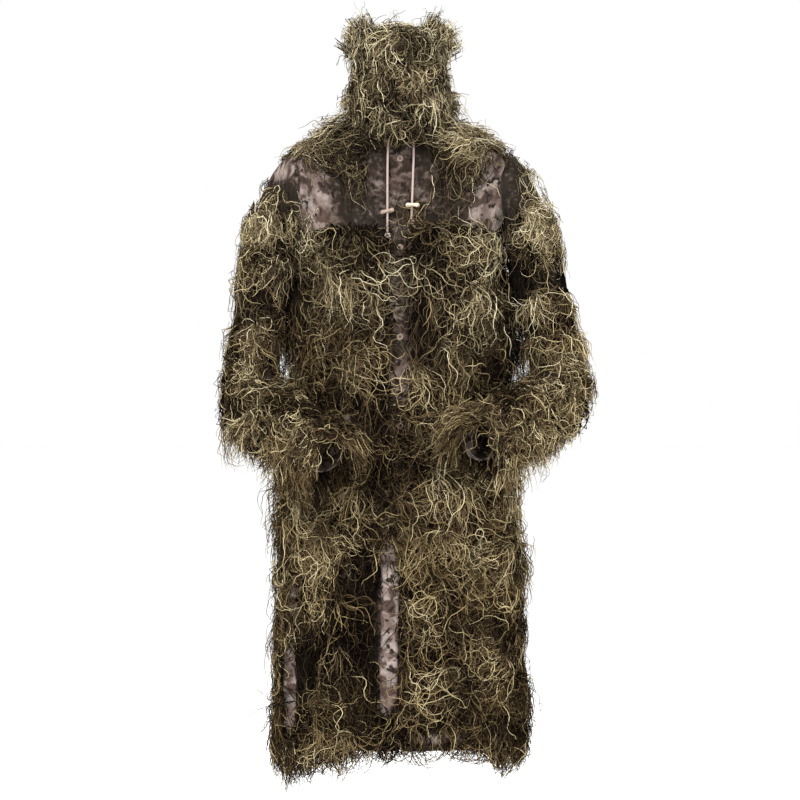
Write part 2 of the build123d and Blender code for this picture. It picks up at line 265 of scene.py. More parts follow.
def folds(turn, z):
    """How far the hanging cloth stands in or out of its section."""
    depth = np.interp(z, [HEM_Z, -0.7, -0.3, -0.05, 0.0], [0.010, 0.007, 0.004, 0.002, 0.0])
    wave = 0.55 * np.sin(9 * turn + 2.0 * np.sin(3.1 * z) + 0.4)
    wave += 0.30 * np.sin(17 * turn - 4.0 * z + 1.3)
    wave += 0.15 * np.sin(31 * turn + 9.0 * z)
    centre = 1 - np.exp(-((np.sin(turn / 2) / 0.11) ** 2))
    return depth * wave * centre


def on_oval(rows, turn, z, lift=0.0):
    """A point that is turned from the front centre towards +X, and its outward normal."""
    half_x, half_y = section(rows, z)
    normal = np.stack([np.sin(turn) / half_x, -np.cos(turn) / half_y, np.zeros_like(turn + z)], -1)
    normal = unit(normal)
    zs = np.broadcast_to(z, normal.shape[:-1])
    point = np.stack([half_x * np.sin(turn), -half_y * np.cos(turn), zs], -1)
    return point + normal * np.asarray(lift)[..., None], normal


def yoke_corner(across):
    """How far a chest yoke's lower edge rises towards its round corner."""
    return 0.030 * np.clip((across - 0.80) / 0.20, 0, 1) ** 2.2


def directions_round(first, second, angle):
    """Directions at angles from the first of two, turning towards the second."""
    return first * np.cos(angle)[..., None] + second * np.sin(angle)[..., None]


def on_coat(turn, z, lift=0.0):
    """A point on the coat's cloth with its folds, and its outward normal."""
    return on_oval(COAT, turn, z, folds(turn, z) + lift)


def hold_to_coat(p, low, high):
    """Moves points to between low and high off the coat, and says which way is out."""
    half_x, half_y = section(COAT, p[:, 2])
    turn = np.arctan2(p[:, 0] / half_x, -p[:, 1] / half_y)
    room = folds(turn, p[:, 2])
    share = np.hypot(p[:, 0] / (half_x + room), p[:, 1] / (half_y + room))
    here = np.maximum(np.hypot(p[:, 0], p[:, 1]), 1e-4)
    skin = here / np.maximum(share, 1e-3)
    slope = np.interp(p[:, 2], [-0.04, 0.0, 0.035], [1.0, 1.5, 3.0])
    low = np.where(p[:, 2] < HEM_Z, low - 0.02, low * slope)
    want = np.clip(here - skin, low, high * slope)
    want = np.where(p[:, 2] > COLLAR_Z, np.maximum(here - skin, low), want)
    out = (skin + want) / here
    rise = np.interp(p[:, 2], [-0.06, -0.02, 0.03], [0.0, 0.4, 2.2])
    outward = unit(np.column_stack([np.sin(turn) / half_x, -np.cos(turn) / half_y, rise / 0.15]))
    return np.column_stack([p[:, 0] * out, p[:, 1] * out, p[:, 2]]), outward


def hood_half(z):
    """Half depth of the hood, which narrows towards the neck."""
    return np.interp(z, [HOOD_BASE_Z, 0.100, 0.160], [0.096, 0.106, HOOD_HALF[1]])


def hold_to_hood(p, low, high):
    """Moves points to between low and high off the hood, and says which way is out."""
    middle = np.minimum(p[:, 2], HOOD_CENTRE_Z)
    away = p - np.column_stack([np.zeros((len(p), 2)), middle])
    depth = hood_half(p[:, 2])
    flat = np.hypot(away[:, 0] / HOOD_HALF[0], away[:, 1] / depth)
    share = (flat**3 + (away[:, 2] / HOOD_HALF[2]) ** 3) ** (1 / 3)
    here = np.maximum(np.linalg.norm(away, axis=1), 1e-4)
    skin = here / np.maximum(share, 1e-3)
    want = np.clip(here - skin, np.where(p[:, 2] > 0.03, low, -1), high)
    outward = away / np.column_stack([np.full(len(p), HOOD_HALF[0] ** 2), depth**2, 0.02 + 0 * depth])
    return p + away * ((skin + want) / here - 1)[:, None], unit(outward)


def on_hood(turn, rise):
    """A point on the hood, and its normal. Rise is 0 at the neck, 1 at the crown."""
    turn, rise = np.broadcast_arrays(turn, rise)
    tilt = np.clip((rise - 0.5) / 0.5, 0, 1) * np.pi / 2
    flat = np.cos(tilt) ** (2 / 3)
    z = np.where(
        rise < 0.5,
        HOOD_BASE_Z + (HOOD_CENTRE_Z - HOOD_BASE_Z) * rise / 0.5,
        HOOD_CENTRE_Z + HOOD_HALF[2] * np.sin(tilt) ** (2 / 3),
    )
    depth = hood_half(z)
    point = np.stack([HOOD_HALF[0] * flat * np.sin(turn), -depth * flat * np.cos(turn), z], -1)
    normal = np.stack(
        [
            np.cos(tilt) * np.sin(turn) / HOOD_HALF[0],
            -np.cos(tilt) * np.cos(turn) / depth,
            np.sin(tilt) / HOOD_HALF[2],
        ],
        -1,
    )
    return point, unit(normal)


def hold_to_arm(side):
    """A function that does the same for one sleeve, and keeps off the coat too."""
    shoulder, elbow, cuff = ARMS[side]
    armhole = np.array([SIDES[side] * 0.186, 0.0, -0.070])

    def hold(p, low, high):
        away, gap_to = np.zeros_like(p), np.full(len(p), 9.0)
        for start, end, r0, r1 in (
            (armhole, shoulder + (elbow - shoulder) * 0.12, 0.066, SLEEVE_R[0]),
            (shoulder, elbow, SLEEVE_R[0], SLEEVE_R[1]),
            (elbow, cuff, SLEEVE_R[1], SLEEVE_R[2]),
        ):
            along = end - start
            t = np.clip((p - start) @ along / (along @ along), 0, 1)
            reach = p - start - t[:, None] * along
            gap = np.linalg.norm(reach, axis=1) - (r0 + (r1 - r0) * t)
            closer = gap < gap_to
            gap_to = np.where(closer, gap, gap_to)
            away = np.where(closer[:, None], reach, away)
        outward = unit(away)
        past_cuff = (p - cuff) @ unit(cuff - elbow) > 0
        under = np.maximum(-outward[:, 2], 0)
        highest = np.where(past_cuff, 9.0, high * (1 + 5 * under**2))
        lowest = np.where(past_cuff, -9.0, low)
        held = p + outward * (np.clip(gap_to, lowest, highest) - gap_to)[:, None]
        held, _ = hold_to_coat(held, 0.004, 9.0)
        return held, outward

    return hold


def arm_frame(side, joint):
    """One stretch of an arm: start, direction, length, a way across, and the way to its underside."""
    start, end = ARMS[side][joint], ARMS[side][joint + 1]
    along = unit(end - start)
    across = unit(np.cross(along, DOWN))
    return start, along, np.linalg.norm(end - start), across, np.cross(across, along)


# ---------------------------------------------------------------- mesh helpers
def attach_all(pieces, *bodies, nodes=()):
    """Attaches some pieces to the same bodies. The last of them replaces the nodes."""
    for piece in pieces[:-1]:
        attach(piece, *bodies)
    attach(pieces[-1], *bodies, nodes=nodes)


def attach(piece, *bodies, nodes=()):
    """Hides the nodes a piece replaces, and parents it to the one body it rides; a piece given two
    bodies only has its transform applied.
    """
    if nodes:
        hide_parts(*nodes)
    if len(bodies) == 1:
        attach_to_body(piece, *bodies)
    else:
        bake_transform(piece)


def build_mesh(name, verts, faces):
    """An object from points and arrays of faces, shaded smooth."""
    mesh = bpy.data.meshes.new(name)
    corners = np.concatenate([f.ravel() for f in faces]).astype(np.int32)
    counts = np.concatenate([np.full(len(f), f.shape[1]) for f in faces])
    starts = np.concatenate([[0], np.cumsum(counts)[:-1]]).astype(np.int32)
    mesh.vertices.add(len(verts))
    mesh.vertices.foreach_set("co", verts.astype(np.float32).ravel())
    mesh.loops.add(len(corners))
    mesh.loops.foreach_set("vertex_index", corners)
    mesh.polygons.add(len(counts))
    mesh.polygons.foreach_set("loop_start", starts)
    mesh.update(calc_edges=True)
    mesh.shade_smooth()
    obj = bpy.data.objects.new(name, mesh)
    bpy.context.scene.collection.objects.link(obj)
    return obj


def give_values(obj, name, values):
    """Stores one number per point for the materials to read."""
    layer = obj.data.attributes.new(name, "FLOAT", "POINT")
    layer.data.foreach_set("value", values.astype(np.float32).ravel())


def grid_faces(rows, columns, closed=False):
    """Quads of a grid of points, whose last column may meet the first."""
    r, c = np.meshgrid(np.arange(rows - 1), np.arange(columns if closed else columns - 1), indexing="ij")
    n = (c + 1) % columns
    quads = [r * columns + c, r * columns + n, (r + 1) * columns + n, (r + 1) * columns + c]
    return np.stack(quads, -1).reshape(-1, 4)


def cloth(name, points, cut, thick=0.0012, closed=False, net_and_shade=None):
    """A sheet of cloth from a grid of points. Cut holds where each lies on the flat cloth.

    The net and shade amount, from 0 to 1, is how much of a dark net with thread roots is sewn over it,
    and how much painted shade darkens the cloth among the threads.
    """
    rows, columns = points.shape[:2]
    obj = build_mesh(name, points.reshape(-1, 3), [grid_faces(rows, columns, closed)])
    layer = obj.data.attributes.new("cut", "FLOAT_VECTOR", "POINT")
    flat = np.zeros((rows * columns, 3), np.float32)
    flat[:, :2] = cut.reshape(-1, 2)
    layer.data.foreach_set("vector", flat.ravel())
    give_values(obj, "net_and_shade", np.zeros(rows * columns) if net_and_shade is None else net_and_shade)
    body = obj.modifiers.new("cloth thickness", "SOLIDIFY")
    body.thickness = thick
    body.offset = -1
    obj.data.materials.append(camo)
    return obj


def declare_sheet(points, closed=False):
    """Works out the mean run across the sheet's grid, but neither keeps nor returns it."""
    across = np.linalg.norm(np.diff(points, axis=1), axis=-1).sum(1).mean()
    if closed:
        across *= points.shape[1] / (points.shape[1] - 1)


def ring_frames(paths):
    """Tangents and two directions across, for many paths at once."""
    tangent = unit(np.gradient(paths, axis=-2))
    spare = np.array([0.36, 0.48, 0.80])
    first = unit(np.cross(tangent, spare))
    return tangent, first, np.cross(tangent, first)


def tube(name, path, radius, material, sides=8, flat=1.0, across=None):
    """One tube along a path. Flat below 1 squeezes it along the second direction."""
    path = np.asarray(path, float)
    tangent, first, second = ring_frames(path)
    if across is not None:
        second = unit(across - tangent * np.sum(across * tangent, -1, keepdims=True))
        first = np.cross(second, tangent)
    angle = np.arange(sides) * 2 * np.pi / sides
    radius = np.broadcast_to(radius, len(path))[:, None, None]
    ring = first[:, None] * np.cos(angle)[:, None] + flat * second[:, None] * np.sin(angle)[:, None]
    verts = (path[:, None] + radius * ring).reshape(-1, 3)
    last = (len(path) - 1) * sides
    caps = np.array([np.arange(sides)[::-1], last + np.arange(sides)])
    obj = build_mesh(name, verts, [grid_faces(len(path), sides, True), caps])
    run = np.concatenate([[0], np.cumsum(np.linalg.norm(np.diff(path, axis=0), axis=1))])
    give_values(obj, "along", np.repeat(run, sides))
    obj.data.materials.append(material)
    return obj


# ---------------------------------------------------------------- growing threads
def grow(rng, roots, normals, tufts, length, steps=14, lift=0.5, spread=0.8, droop=11.0,
         curl=75.0, layer=(0.001, 0.018), loose=0.010, bulge=1.0, hold=hold_to_coat, sweep=None):
    """Paths of threads that leave their roots, curl, fall, and lie on what is under them.

    Tufts number the bunches, and threads of one bunch share part of their course.
    Curl is the sharpest bend, as one over its radius. Sweep is a direction that they
    start in, where it isn't down.
    """
    count, groups = len(roots), tufts.max() + 1

    def mixed(shared, own):
        return rng.normal(size=groups)[tufts] * shared + rng.normal(size=count) * own

    loosely = rng.normal(size=(groups, 3))[tufts] * 0.15
    start = (DOWN if sweep is None else sweep) + loosely
    fall = unit(start - normals * np.sum(normals * start, -1, keepdims=True))
    aside = np.cross(normals, fall)
    swing = mixed(spread, spread * 0.5)[:, None]
    way = unit(fall * np.cos(swing) + aside * np.sin(swing) + lift * normals)
    step = (length[0] + (length[1] - length[0]) * rng.random(count)) / steps
    low = layer[0] + (layer[1] - layer[0]) * rng.random(count) ** 1.3 * bulge
    high = low + loose * (0.3 + 2.2 * rng.random(count) ** 4)
    curl = curl * rng.uniform(0.45, 1.25, groups)[tufts]
    steady = curl * mixed(0.25, 0.22)
    bend = curl * (0.4 + 0.8 * rng.random(count))
    wave = 2 * np.pi / (0.034 + 0.060 * rng.random(count))
    phase = mixed(1.5, 0.9)
    lap = 2 * np.pi / (0.03 + 0.05 * rng.random(count))
    lap_phase = mixed(1.0, 2.0)
    paths = [roots]
    p, outward = roots, normals
    for k in range(steps):
        run = step * (k + 0.5)
        fray = 0.35 + 1.25 * k / steps
        turning = (steady + bend * np.sin(wave * run + phase)) * fray * step
        turning += rng.normal(size=count) * 0.36
        rising = 0.5 * bend * fray * np.sin(lap * run + lap_phase) * step
        way = way + np.cross(outward, way) * turning[:, None] + outward * rising[:, None]
        way = unit(way + DOWN * droop * step[:, None])
        ease = min(1, (k + 1) / 3)
        held, outward = hold(p + way * step[:, None], 0.0008 + low * ease, 0.004 + high * ease)
        way = unit(held - p)
        p = p + way * step[:, None]
        paths.append(p)
    return np.stack(paths, 1)


def tone_and_shade_at(x, z):
    """The suit's broad lights and darks: partly the threads' own tone, partly painted light and painted
    shade.
    """
    tone = np.zeros(len(x))
    for spot_x, spot_z, reach, change in TONE_AND_SHADE_SPOTS:
        tone += change * np.exp(-((x - spot_x) ** 2 + (z - spot_z) ** 2) / reach**2)
    return tone


def thread_mesh(name, paths, radius, tone, hue, material):
    """Thin three-sided tubes along many paths, each with its own cell of the UV map."""
    count, rings = paths.shape[:2]
    _, first, second = ring_frames(paths)
    angle = np.arange(3) * 2 * np.pi / 3
    s = np.linspace(0, 1, rings)
    width = radius[:, None] * (1 - 0.65 * s**2)
    ring = first[:, :, None] * np.cos(angle)[:, None] + second[:, :, None] * np.sin(angle)[:, None]
    verts = (paths[:, :, None] + width[:, :, None, None] * ring).reshape(-1, 3)
    quads = grid_faces(rings, 3, True)
    ends = np.array([[0, 2, 1], [(rings - 1) * 3 + j for j in range(3)]])
    shift = (np.arange(count) * rings * 3)[:, None, None]
    obj = build_mesh(name, verts, [(quads + shift).reshape(-1, 4), (ends + shift).reshape(-1, 3)])
    give_values(obj, "tone", np.repeat(tone, rings * 3))
    give_values(obj, "hue", np.repeat(hue, rings * 3))
    give_values(obj, "along", np.tile(np.repeat(s, 3), count))
    add_cells(obj, count, rings)
    obj.data.materials.append(material)
    return obj


def add_cells(obj, count, rings):
    """A UV map with one small cell for each thread, for the baked colours to fit in."""
    columns = int(np.ceil(np.sqrt(count)))
    cell = np.stack([np.arange(count) % columns, np.arange(count) // columns], -1)
    k, j = np.meshgrid(np.arange(rings - 1), np.arange(3), indexing="ij")
    corners = [(j, k), (j + 1, k), (j + 1, k + 1), (j, k + 1)]
    quad = np.stack([np.stack([a / 3, b / (rings - 1)], -1) for a, b in corners], 2)
    quad = quad.reshape(-1, 2) * 0.7 + 0.15
    ends = np.array([(0.2, 0.16), (0.5, 0.16), (0.8, 0.16), (0.2, 0.84), (0.5, 0.84), (0.8, 0.84)])
    uv = [
        (cell[:, None] + quad[None]).reshape(-1, 2),
        (cell[:, None] + ends[None]).reshape(-1, 2),
    ]
    layer = obj.data.uv_layers.new(name="OFBake")
    layer.data.foreach_set("uv", (np.concatenate(uv) / columns).astype(np.float32).ravel())


def threads(name, seed, knots, per_knot, length, thick=0.00080, tone=0.51, vary=0.13,
            own_vary=0.19, spots=1.0, keep=None, scatter=0.005, free=False, **course):
    """A piece made of tufts. Knots are points and normals, and for heaps tone and bulge.

    Free threads may reach past the suit's outline.
    """
    rng = np.random.default_rng(seed)
    points, normals, *heaped = knots
    shade, bulge = heaped if heaped else (np.zeros(len(points)), np.ones(len(points)))
    tufts = np.repeat(np.arange(len(points)), per_knot)
    roots = points[tufts] + rng.normal(size=(len(tufts), 3)) * scatter
    paths = grow(rng, roots, normals[tufts], tufts, length, bulge=bulge[tufts], **course)
    value = tone + (shade + rng.normal(size=len(points)) * vary)[tufts]
    value += rng.normal(size=len(tufts)) * own_vary
    middle = paths[:, paths.shape[1] // 2]
    # The broad spots add painted light and painted shade to the threads' tone, with some of their own
    # tone.
    value += spots * tone_and_shade_at(middle[:, 0], middle[:, 2])
    hue = smooth(-0.9, 0.25, middle[:, 2]) * 0.7 + rng.normal(size=len(points))[tufts] * 0.2
    radius = thick * (0.65 + 0.7 * rng.random(len(tufts)))
    kept = ((paths > BOX_LOW - ROOM) & (paths < BOX_HIGH + ROOM)).all((1, 2))
    if not free:
        kept &= within_outline(paths, rng)
    if keep is not None:
        kept &= keep(paths, rng)
    paths, value, hue, radius = paths[kept], value[kept], hue[kept], radius[kept]
    return thread_mesh(name, paths, radius, np.clip(value, 0, 1), np.clip(hue, 0, 1), jute)


# The short dark threads next to the cloth, with a near-black tone that paints the shade deep among the
# threads, and the hanging ones over them.
UNDERCOAT_IN_PAINTED_SHADE = dict(
    thick=0.0018, tone=0.05, vary=0.04, own_vary=0.05, spots=0.1, steps=5, lift=0.15, spread=0.5,
    curl=30, layer=(0.0006, 0.003), loose=0.003,
)
MIDCOAT = dict(
    thick=0.0011, tone=0.30, vary=0.10, own_vary=0.13, spots=0.7, steps=9, lift=0.3, spread=0.4,
    curl=45, droop=20, layer=(0.001, 0.008), loose=0.006,
)


def heaps(rng, middles, per_heap, spread, hold):
    """Knots scattered round the middles of heaps, each with its own tone and height."""
    owner = np.repeat(np.arange(len(middles)), per_heap)
    scattered = middles[owner] + rng.normal(size=(len(owner), 3)) * spread
    points, normals = hold(scattered, 0.001, 0.001)
    shade = rng.normal(size=len(middles))[owner] * 0.10
    return points, normals, shade, rng.uniform(0.25, 1.9, len(middles))[owner]


def rows_on_coat(rng, turn_range, z_range, row_gap, knot_gap, bare_allowed=0.5):
    """Knots in uneven rows on the coat, apart from where its cloth is bare."""
    points, normals = [], []
    low, high = sorted(z_range)
    for z in np.arange(high, low, -row_gap):
        reach = 0.5 * sum(section(COAT, z))
        turns = np.arange(turn_range[0], turn_range[1], knot_gap / reach)
        turns = turns + rng.normal(size=len(turns)) * 0.3 * knot_gap / reach
        turns = np.clip(turns, *turn_range)
        zs = np.clip(z + rng.normal(size=len(turns)) * row_gap * 0.3, low, high)
        point, normal = on_coat(turns, zs, 0.0008)
        points.append(point)
        normals.append(normal)
    points, normals = np.concatenate(points), np.concatenate(normals)
    keep = bare(points) < bare_allowed
    return points[keep], normals[keep]


def within_outline(paths, rng):
    """Which threads stay: those that reach no further to the sides than the suit's outline."""
    x, z = paths[:, :, 0], paths[:, :, 2]
    reach = [np.interp(z, SIDE_REACH[:, 0], SIDE_REACH[:, column]) for column in (1, 2)]
    past = np.maximum(-x - reach[0], x - reach[1]).max(1)
    return past < 0.003 + rng.normal(size=len(paths)) * 0.010


def on_cloth(paths, rng):
    """Which threads stay: few that lie across bare cloth, and none too far below the hem."""
    covered = (bare(paths) > 0.5).mean(1)
    ends = paths[:, -1]
    lowest = np.interp(ends[:, 0], *FRINGE_ENDS.T) + rng.normal(size=len(paths)) * 0.006
    short = paths[:, :, 2].min(1) > np.maximum(lowest, FRINGE_LOW - 0.010)
    return short & ((covered < 0.22) | (rng.random(len(paths)) < 0.10))


# ---------------------------------------------------------------- materials
def node_material(name, roughness, shine=0.1):
    """A new material, its node tree and its main shader."""
    mat = bpy.data.materials.new(name)
    mat.use_nodes = True
    tree = mat.node_tree
    shader = tree.nodes["Principled BSDF"]
    shader.inputs["Roughness"].default_value = roughness
    shader.inputs["Specular IOR Level"].default_value = shine
    return mat, tree, shader


def feed(tree, socket, value):
    """Links a socket to another, or gives it a number, a vector or a plain colour."""
    if isinstance(value, bpy.types.NodeSocket):
        tree.links.new(value, socket)
    else:
        socket.default_value = (*value, 1) if socket.type == "RGBA" else value


def add_node(tree, kind, inputs, **settings):
    """A new shader node with its settings and its inputs."""
    node = tree.nodes.new("ShaderNode" + kind)
    for name, value in settings.items():
        setattr(node, name, value)
    for name, value in inputs.items():
        feed(tree, node.inputs[name], value)
    return node


def ramp(tree, source, *stops):
    """A colour ramp fed by a socket. A stop's colour may be one number, for a grey."""
    node = add_node(tree, "ValToRGB", {"Fac": source})
    while len(node.color_ramp.elements) < len(stops):
        node.color_ramp.elements.new(0.5)
    for element, (at, colour) in zip(node.color_ramp.elements, stops):
        element.position = at
        element.color = (*np.broadcast_to(colour, 3), 1)
    return node.outputs["Color"]


def noise(tree, vector, scale, detail):
    """A noise texture's value."""
    inputs = {"Scale": scale, "Detail": detail, "Vector": vector}
    return add_node(tree, "TexNoise", inputs).outputs["Fac"]


def attribute(tree, name, output="Fac"):
    """A value stored on the mesh."""
    return add_node(tree, "Attribute", {}, attribute_name=name).outputs[output]


def object_place(tree):
    """The coordinates of a point on its object."""
    return add_node(tree, "TexCoord", {}).outputs["Object"]


def blend_colours(tree, factor, first, second, how="MIX"):
    """Two colours mixed. Each may be a socket or a plain colour."""
    inputs = {0: factor, 6: first, 7: second}
    return add_node(tree, "Mix", inputs, data_type="RGBA", blend_type=how).outputs[2]


def multiply(tree, first, second):
    """Two colours multiplied."""
    return blend_colours(tree, 1.0, first, second, "MULTIPLY")


def maths(tree, operation, first, second):
    """One step of arithmetic on sockets or numbers."""
    return add_node(tree, "Math", {0: first, 1: second}, operation=operation).outputs[0]


def add_bump(tree, shader, height, distance, strength):
    """Feeds a height into the shader's normal."""
    inputs = {"Distance": distance, "Strength": strength, "Height": height}
    feed(tree, shader.inputs["Normal"], add_node(tree, "Bump", inputs).outputs[0])


def ribs(tree, vector, direction, scale, distortion):
    """Parallel ribs, as a height."""
    inputs = {"Scale": scale, "Distortion": distortion, "Vector": vector}
    return add_node(tree, "TexWave", inputs, bands_direction=direction).outputs["Fac"]


def weave(tree, vector, pitch):
    """Over and under threads of a plain weave, as a height."""
    heights = [ribs(tree, vector, direction, 0.314 / pitch, 0.4) for direction in "XY"]
    return maths(tree, "MULTIPLY", *heights)


def camo_material():
    """Pinkish taupe cloth, printed with small square blotches of brown."""
    mat, tree, shader = node_material("camo_cloth", 0.9)
    cut = attribute(tree, "cut", "Vector")
    square = add_node(
        tree, "VectorMath", {0: cut, 1: (0.0018, 0.0018, 1)}, operation="SNAP"
    ).outputs[0]
    pale, taupe = (0.330, 0.272, 0.245), (0.185, 0.135, 0.117)
    brown, dark = (0.085, 0.056, 0.045), (0.030, 0.020, 0.016)
    ground = ramp(tree, noise(tree, square, 21, 2.0), (0.46, pale), (0.54, taupe))
    blotches = ramp(tree, noise(tree, square, 33, 3.0), (0.50, 0), (0.56, 1))
    colour = blend_colours(tree, blotches, ground, brown)
    shifted = add_node(tree, "VectorMath", {0: square, 1: (3.1, 1.7, 0)}).outputs[0]
    spots = ramp(tree, noise(tree, shifted, 62, 3.0), (0.57, 0), (0.61, 1))
    colour = blend_colours(tree, spots, colour, dark)
    wear = ramp(tree, noise(tree, cut, 22, 4.0), (0.25, 0.66), (0.75, 1.10))
    colour = multiply(tree, colour, wear)
    frayed = maths(tree, "SUBTRACT", noise(tree, cut, 90, 3.0), 0.5)
    net_and_shade = maths(tree, "ADD", attribute(tree, "net_and_shade"), frayed)
    # Where the net and shade amount is high, the cloth is darkened: painted shade among the threads and
    # on the placket and fly.
    painted_shade = ramp(tree, net_and_shade, (0.0, 1.0), (0.65, (0.33, 0.31, 0.29)))
    colour = multiply(tree, colour, painted_shade)
    # Higher still, the cloth turns near black: a dark net, partly real and partly painted shade in the
    # gaps between the threads.
    net_and_gap_shade = ramp(tree, net_and_shade, (0.62, 0), (0.85, 0.94))
    colour = blend_colours(tree, net_and_gap_shade, colour, (0.012, 0.009, 0.006))
    feed(tree, shader.inputs["Base Color"], colour)
    add_bump(tree, shader, weave(tree, cut, 0.0009), 0.0003, 0.35)
    return mat


def jute_material():
    """Twisted jute, from near black through olive brown to straw."""
    mat, tree, shader = node_material("jute", 0.8, 0.02)
    place = object_place(tree)
    patchy = maths(tree, "MULTIPLY", maths(tree, "SUBTRACT", noise(tree, place, 11, 2), 0.5), 0.35)
    value = maths(tree, "ADD", attribute(tree, "tone"), patchy)
    golden = ramp(
        tree, value,
        (0.00, (0.0035, 0.0025, 0.0018)), (0.22, (0.0150, 0.0098, 0.0062)),
        (0.45, (0.072, 0.046, 0.022)), (0.66, (0.215, 0.150, 0.070)),
        (0.84, (0.440, 0.345, 0.165)), (1.00, (0.700, 0.590, 0.350)),
    )
    greyer = ramp(
        tree, value,
        (0.00, (0.004, 0.0033, 0.0026)), (0.22, (0.016, 0.0125, 0.008)),
        (0.45, (0.078, 0.060, 0.036)), (0.66, (0.232, 0.187, 0.110)),
        (0.84, (0.460, 0.398, 0.245)), (1.00, (0.720, 0.650, 0.460)),
    )
    colour = blend_colours(tree, attribute(tree, "hue"), golden, greyer)
    # Each thread is darker at its root, painted shade among the knots, and lighter towards its free end.
    painted_root_shade = ramp(tree, attribute(tree, "along"), (0.0, 0.30), (0.45, 0.95), (1.0, 1.25))
    colour = multiply(tree, colour, painted_root_shade)
    fleck = ramp(tree, noise(tree, place, 700, 2), (0.3, 0.72), (0.7, 1.12))
    feed(tree, shader.inputs["Base Color"], multiply(tree, colour, fleck))
    return mat


def plain_fibre(name, colour, scale, contrast=0.25, roughness=0.8):
    """A fibrous or grained material round one colour."""
    mat, tree, shader = node_material(name, roughness)
    low = tuple(c * (1 - contrast) for c in colour)
    high = tuple(min(1, c * (1 + contrast)) for c in colour)
    grain = noise(tree, object_place(tree), scale, 3.0)
    feed(tree, shader.inputs["Base Color"], ramp(tree, grain, (0.3, low), (0.7, high)))
    add_bump(tree, shader, grain, 0.0004, 0.4)
    return mat


def cord_material():
    """Braided cord: fine slanting ribs on pinkish beige."""
    mat, tree, shader = node_material("drawcord", 0.8)
    rib = ribs(tree, object_place(tree), "DIAGONAL", 260, 1.5)
    # The ribs' grooves are painted darker than their crests: painted shade in the grooves of the braid.
    shade = ramp(tree, rib, (0.1, (0.21, 0.155, 0.135)), (0.8, (0.42, 0.335, 0.30)))
    feed(tree, shader.inputs["Base Color"], shade)
    add_bump(tree, shader, rib, 0.0004, 0.5)
    return mat


camo = camo_material()
jute = jute_material()
braid = cord_material()
webbing = plain_fibre("webbing", (0.13, 0.10, 0.075), 700)
netting = plain_fibre("netting", (0.05, 0.042, 0.028), 900)
stitching = plain_fibre("stitching", (0.50, 0.44, 0.36), 1500, 0.15)
dark_tape = plain_fibre("dark_tape", (0.022, 0.019, 0.016), 900)
button_plastic = plain_fibre("button_plastic", (0.20, 0.15, 0.12), 120, 0.15, 0.45)
pale_wood = plain_fibre("pale_wood", (0.66, 0.55, 0.40), 160, 0.18, 0.55)
dark_wood = plain_fibre("dark_wood", (0.27, 0.20, 0.16), 160, 0.18, 0.55)


# ---------------------------------------------------------------- cloth panels
def arc_run(points, axis):
    """Distance along a grid of points, for the flat cloth's coordinates."""
    steps = np.linalg.norm(np.diff(points, axis=axis), axis=-1)
    zero = np.zeros_like(np.take(steps, [0], axis=axis))
    return np.concatenate([zero, np.cumsum(steps, axis=axis)], axis=axis)


def flat_cut(points, offset):
    """Where each point of a grid lies on the flat cloth, starting at an offset."""
    return np.stack([arc_run(points, 1) + offset[0], arc_run(points, 0) + offset[1]], -1)


def oval_panel(name, rows, turn, z, lift=0.0, gap=0.008, with_folds=True, offset=(0, 0),
               net=False):
    """A panel of the coat between two turns and two heights."""
    zs = np.linspace(z[0], z[1], max(int(abs(z[1] - z[0]) / gap), 4) + 1)[:, None]
    share = np.linspace(0, 1, max(int(abs(turn[1] - turn[0]) * COAT_RADIUS / gap), 3) + 1)[None]
    turns = turn[0] + (turn[1] - turn[0]) * share
    move = folds(turns, zs) + lift if with_folds else lift
    points, _ = on_oval(rows, turns + 0 * zs, zs + 0 * turns, move)
    # Where threads cover the panel, its cloth gets the dark net and painted shade.
    net_and_shade = 1 - bare(points) if net else None
    obj = cloth(name, points, flat_cut(points, offset), net_and_shade=net_and_shade)
    declare_sheet(points)
    return obj


def coat_cloth():
    """Fronts that run on into the skirts, sides and back."""
    for side, sign in SIDES.items():
        front = oval_panel(
            f"cloth_front_{side}", COAT, (sign * 0.006, sign * SIDE_TURN), (YOKE_Z + 0.03, HEM_Z),
            PANEL_LIFT, offset=(sign * 2.0, 0.3), net=True,
        )
        attach(front, "coat", f"skirt_{side}", *SKIRT_BLEND,
               nodes=[f"front_panel_{side}", f"skirt_panel_{side}"])
        panel = oval_panel(
            f"cloth_side_{side}", COAT, (sign * SIDE_TURN, sign * BACK_TURN), (-0.02, HEM_Z),
            PANEL_LIFT, offset=(sign * 5.0, 1.3), net=True,
        )
        attach(panel, "coat", nodes=[f"side_panel_{side}"])
    back = oval_panel(
        "cloth_back", COAT, (BACK_TURN, 2 * np.pi - BACK_TURN), (-0.02, HEM_Z), PANEL_LIFT,
        offset=(8.0, 0.7), net=True,
    )
    attach(back, "coat", nodes=["back_panel_centre", "back_panel_left", "back_panel_right", "back_yoke"])


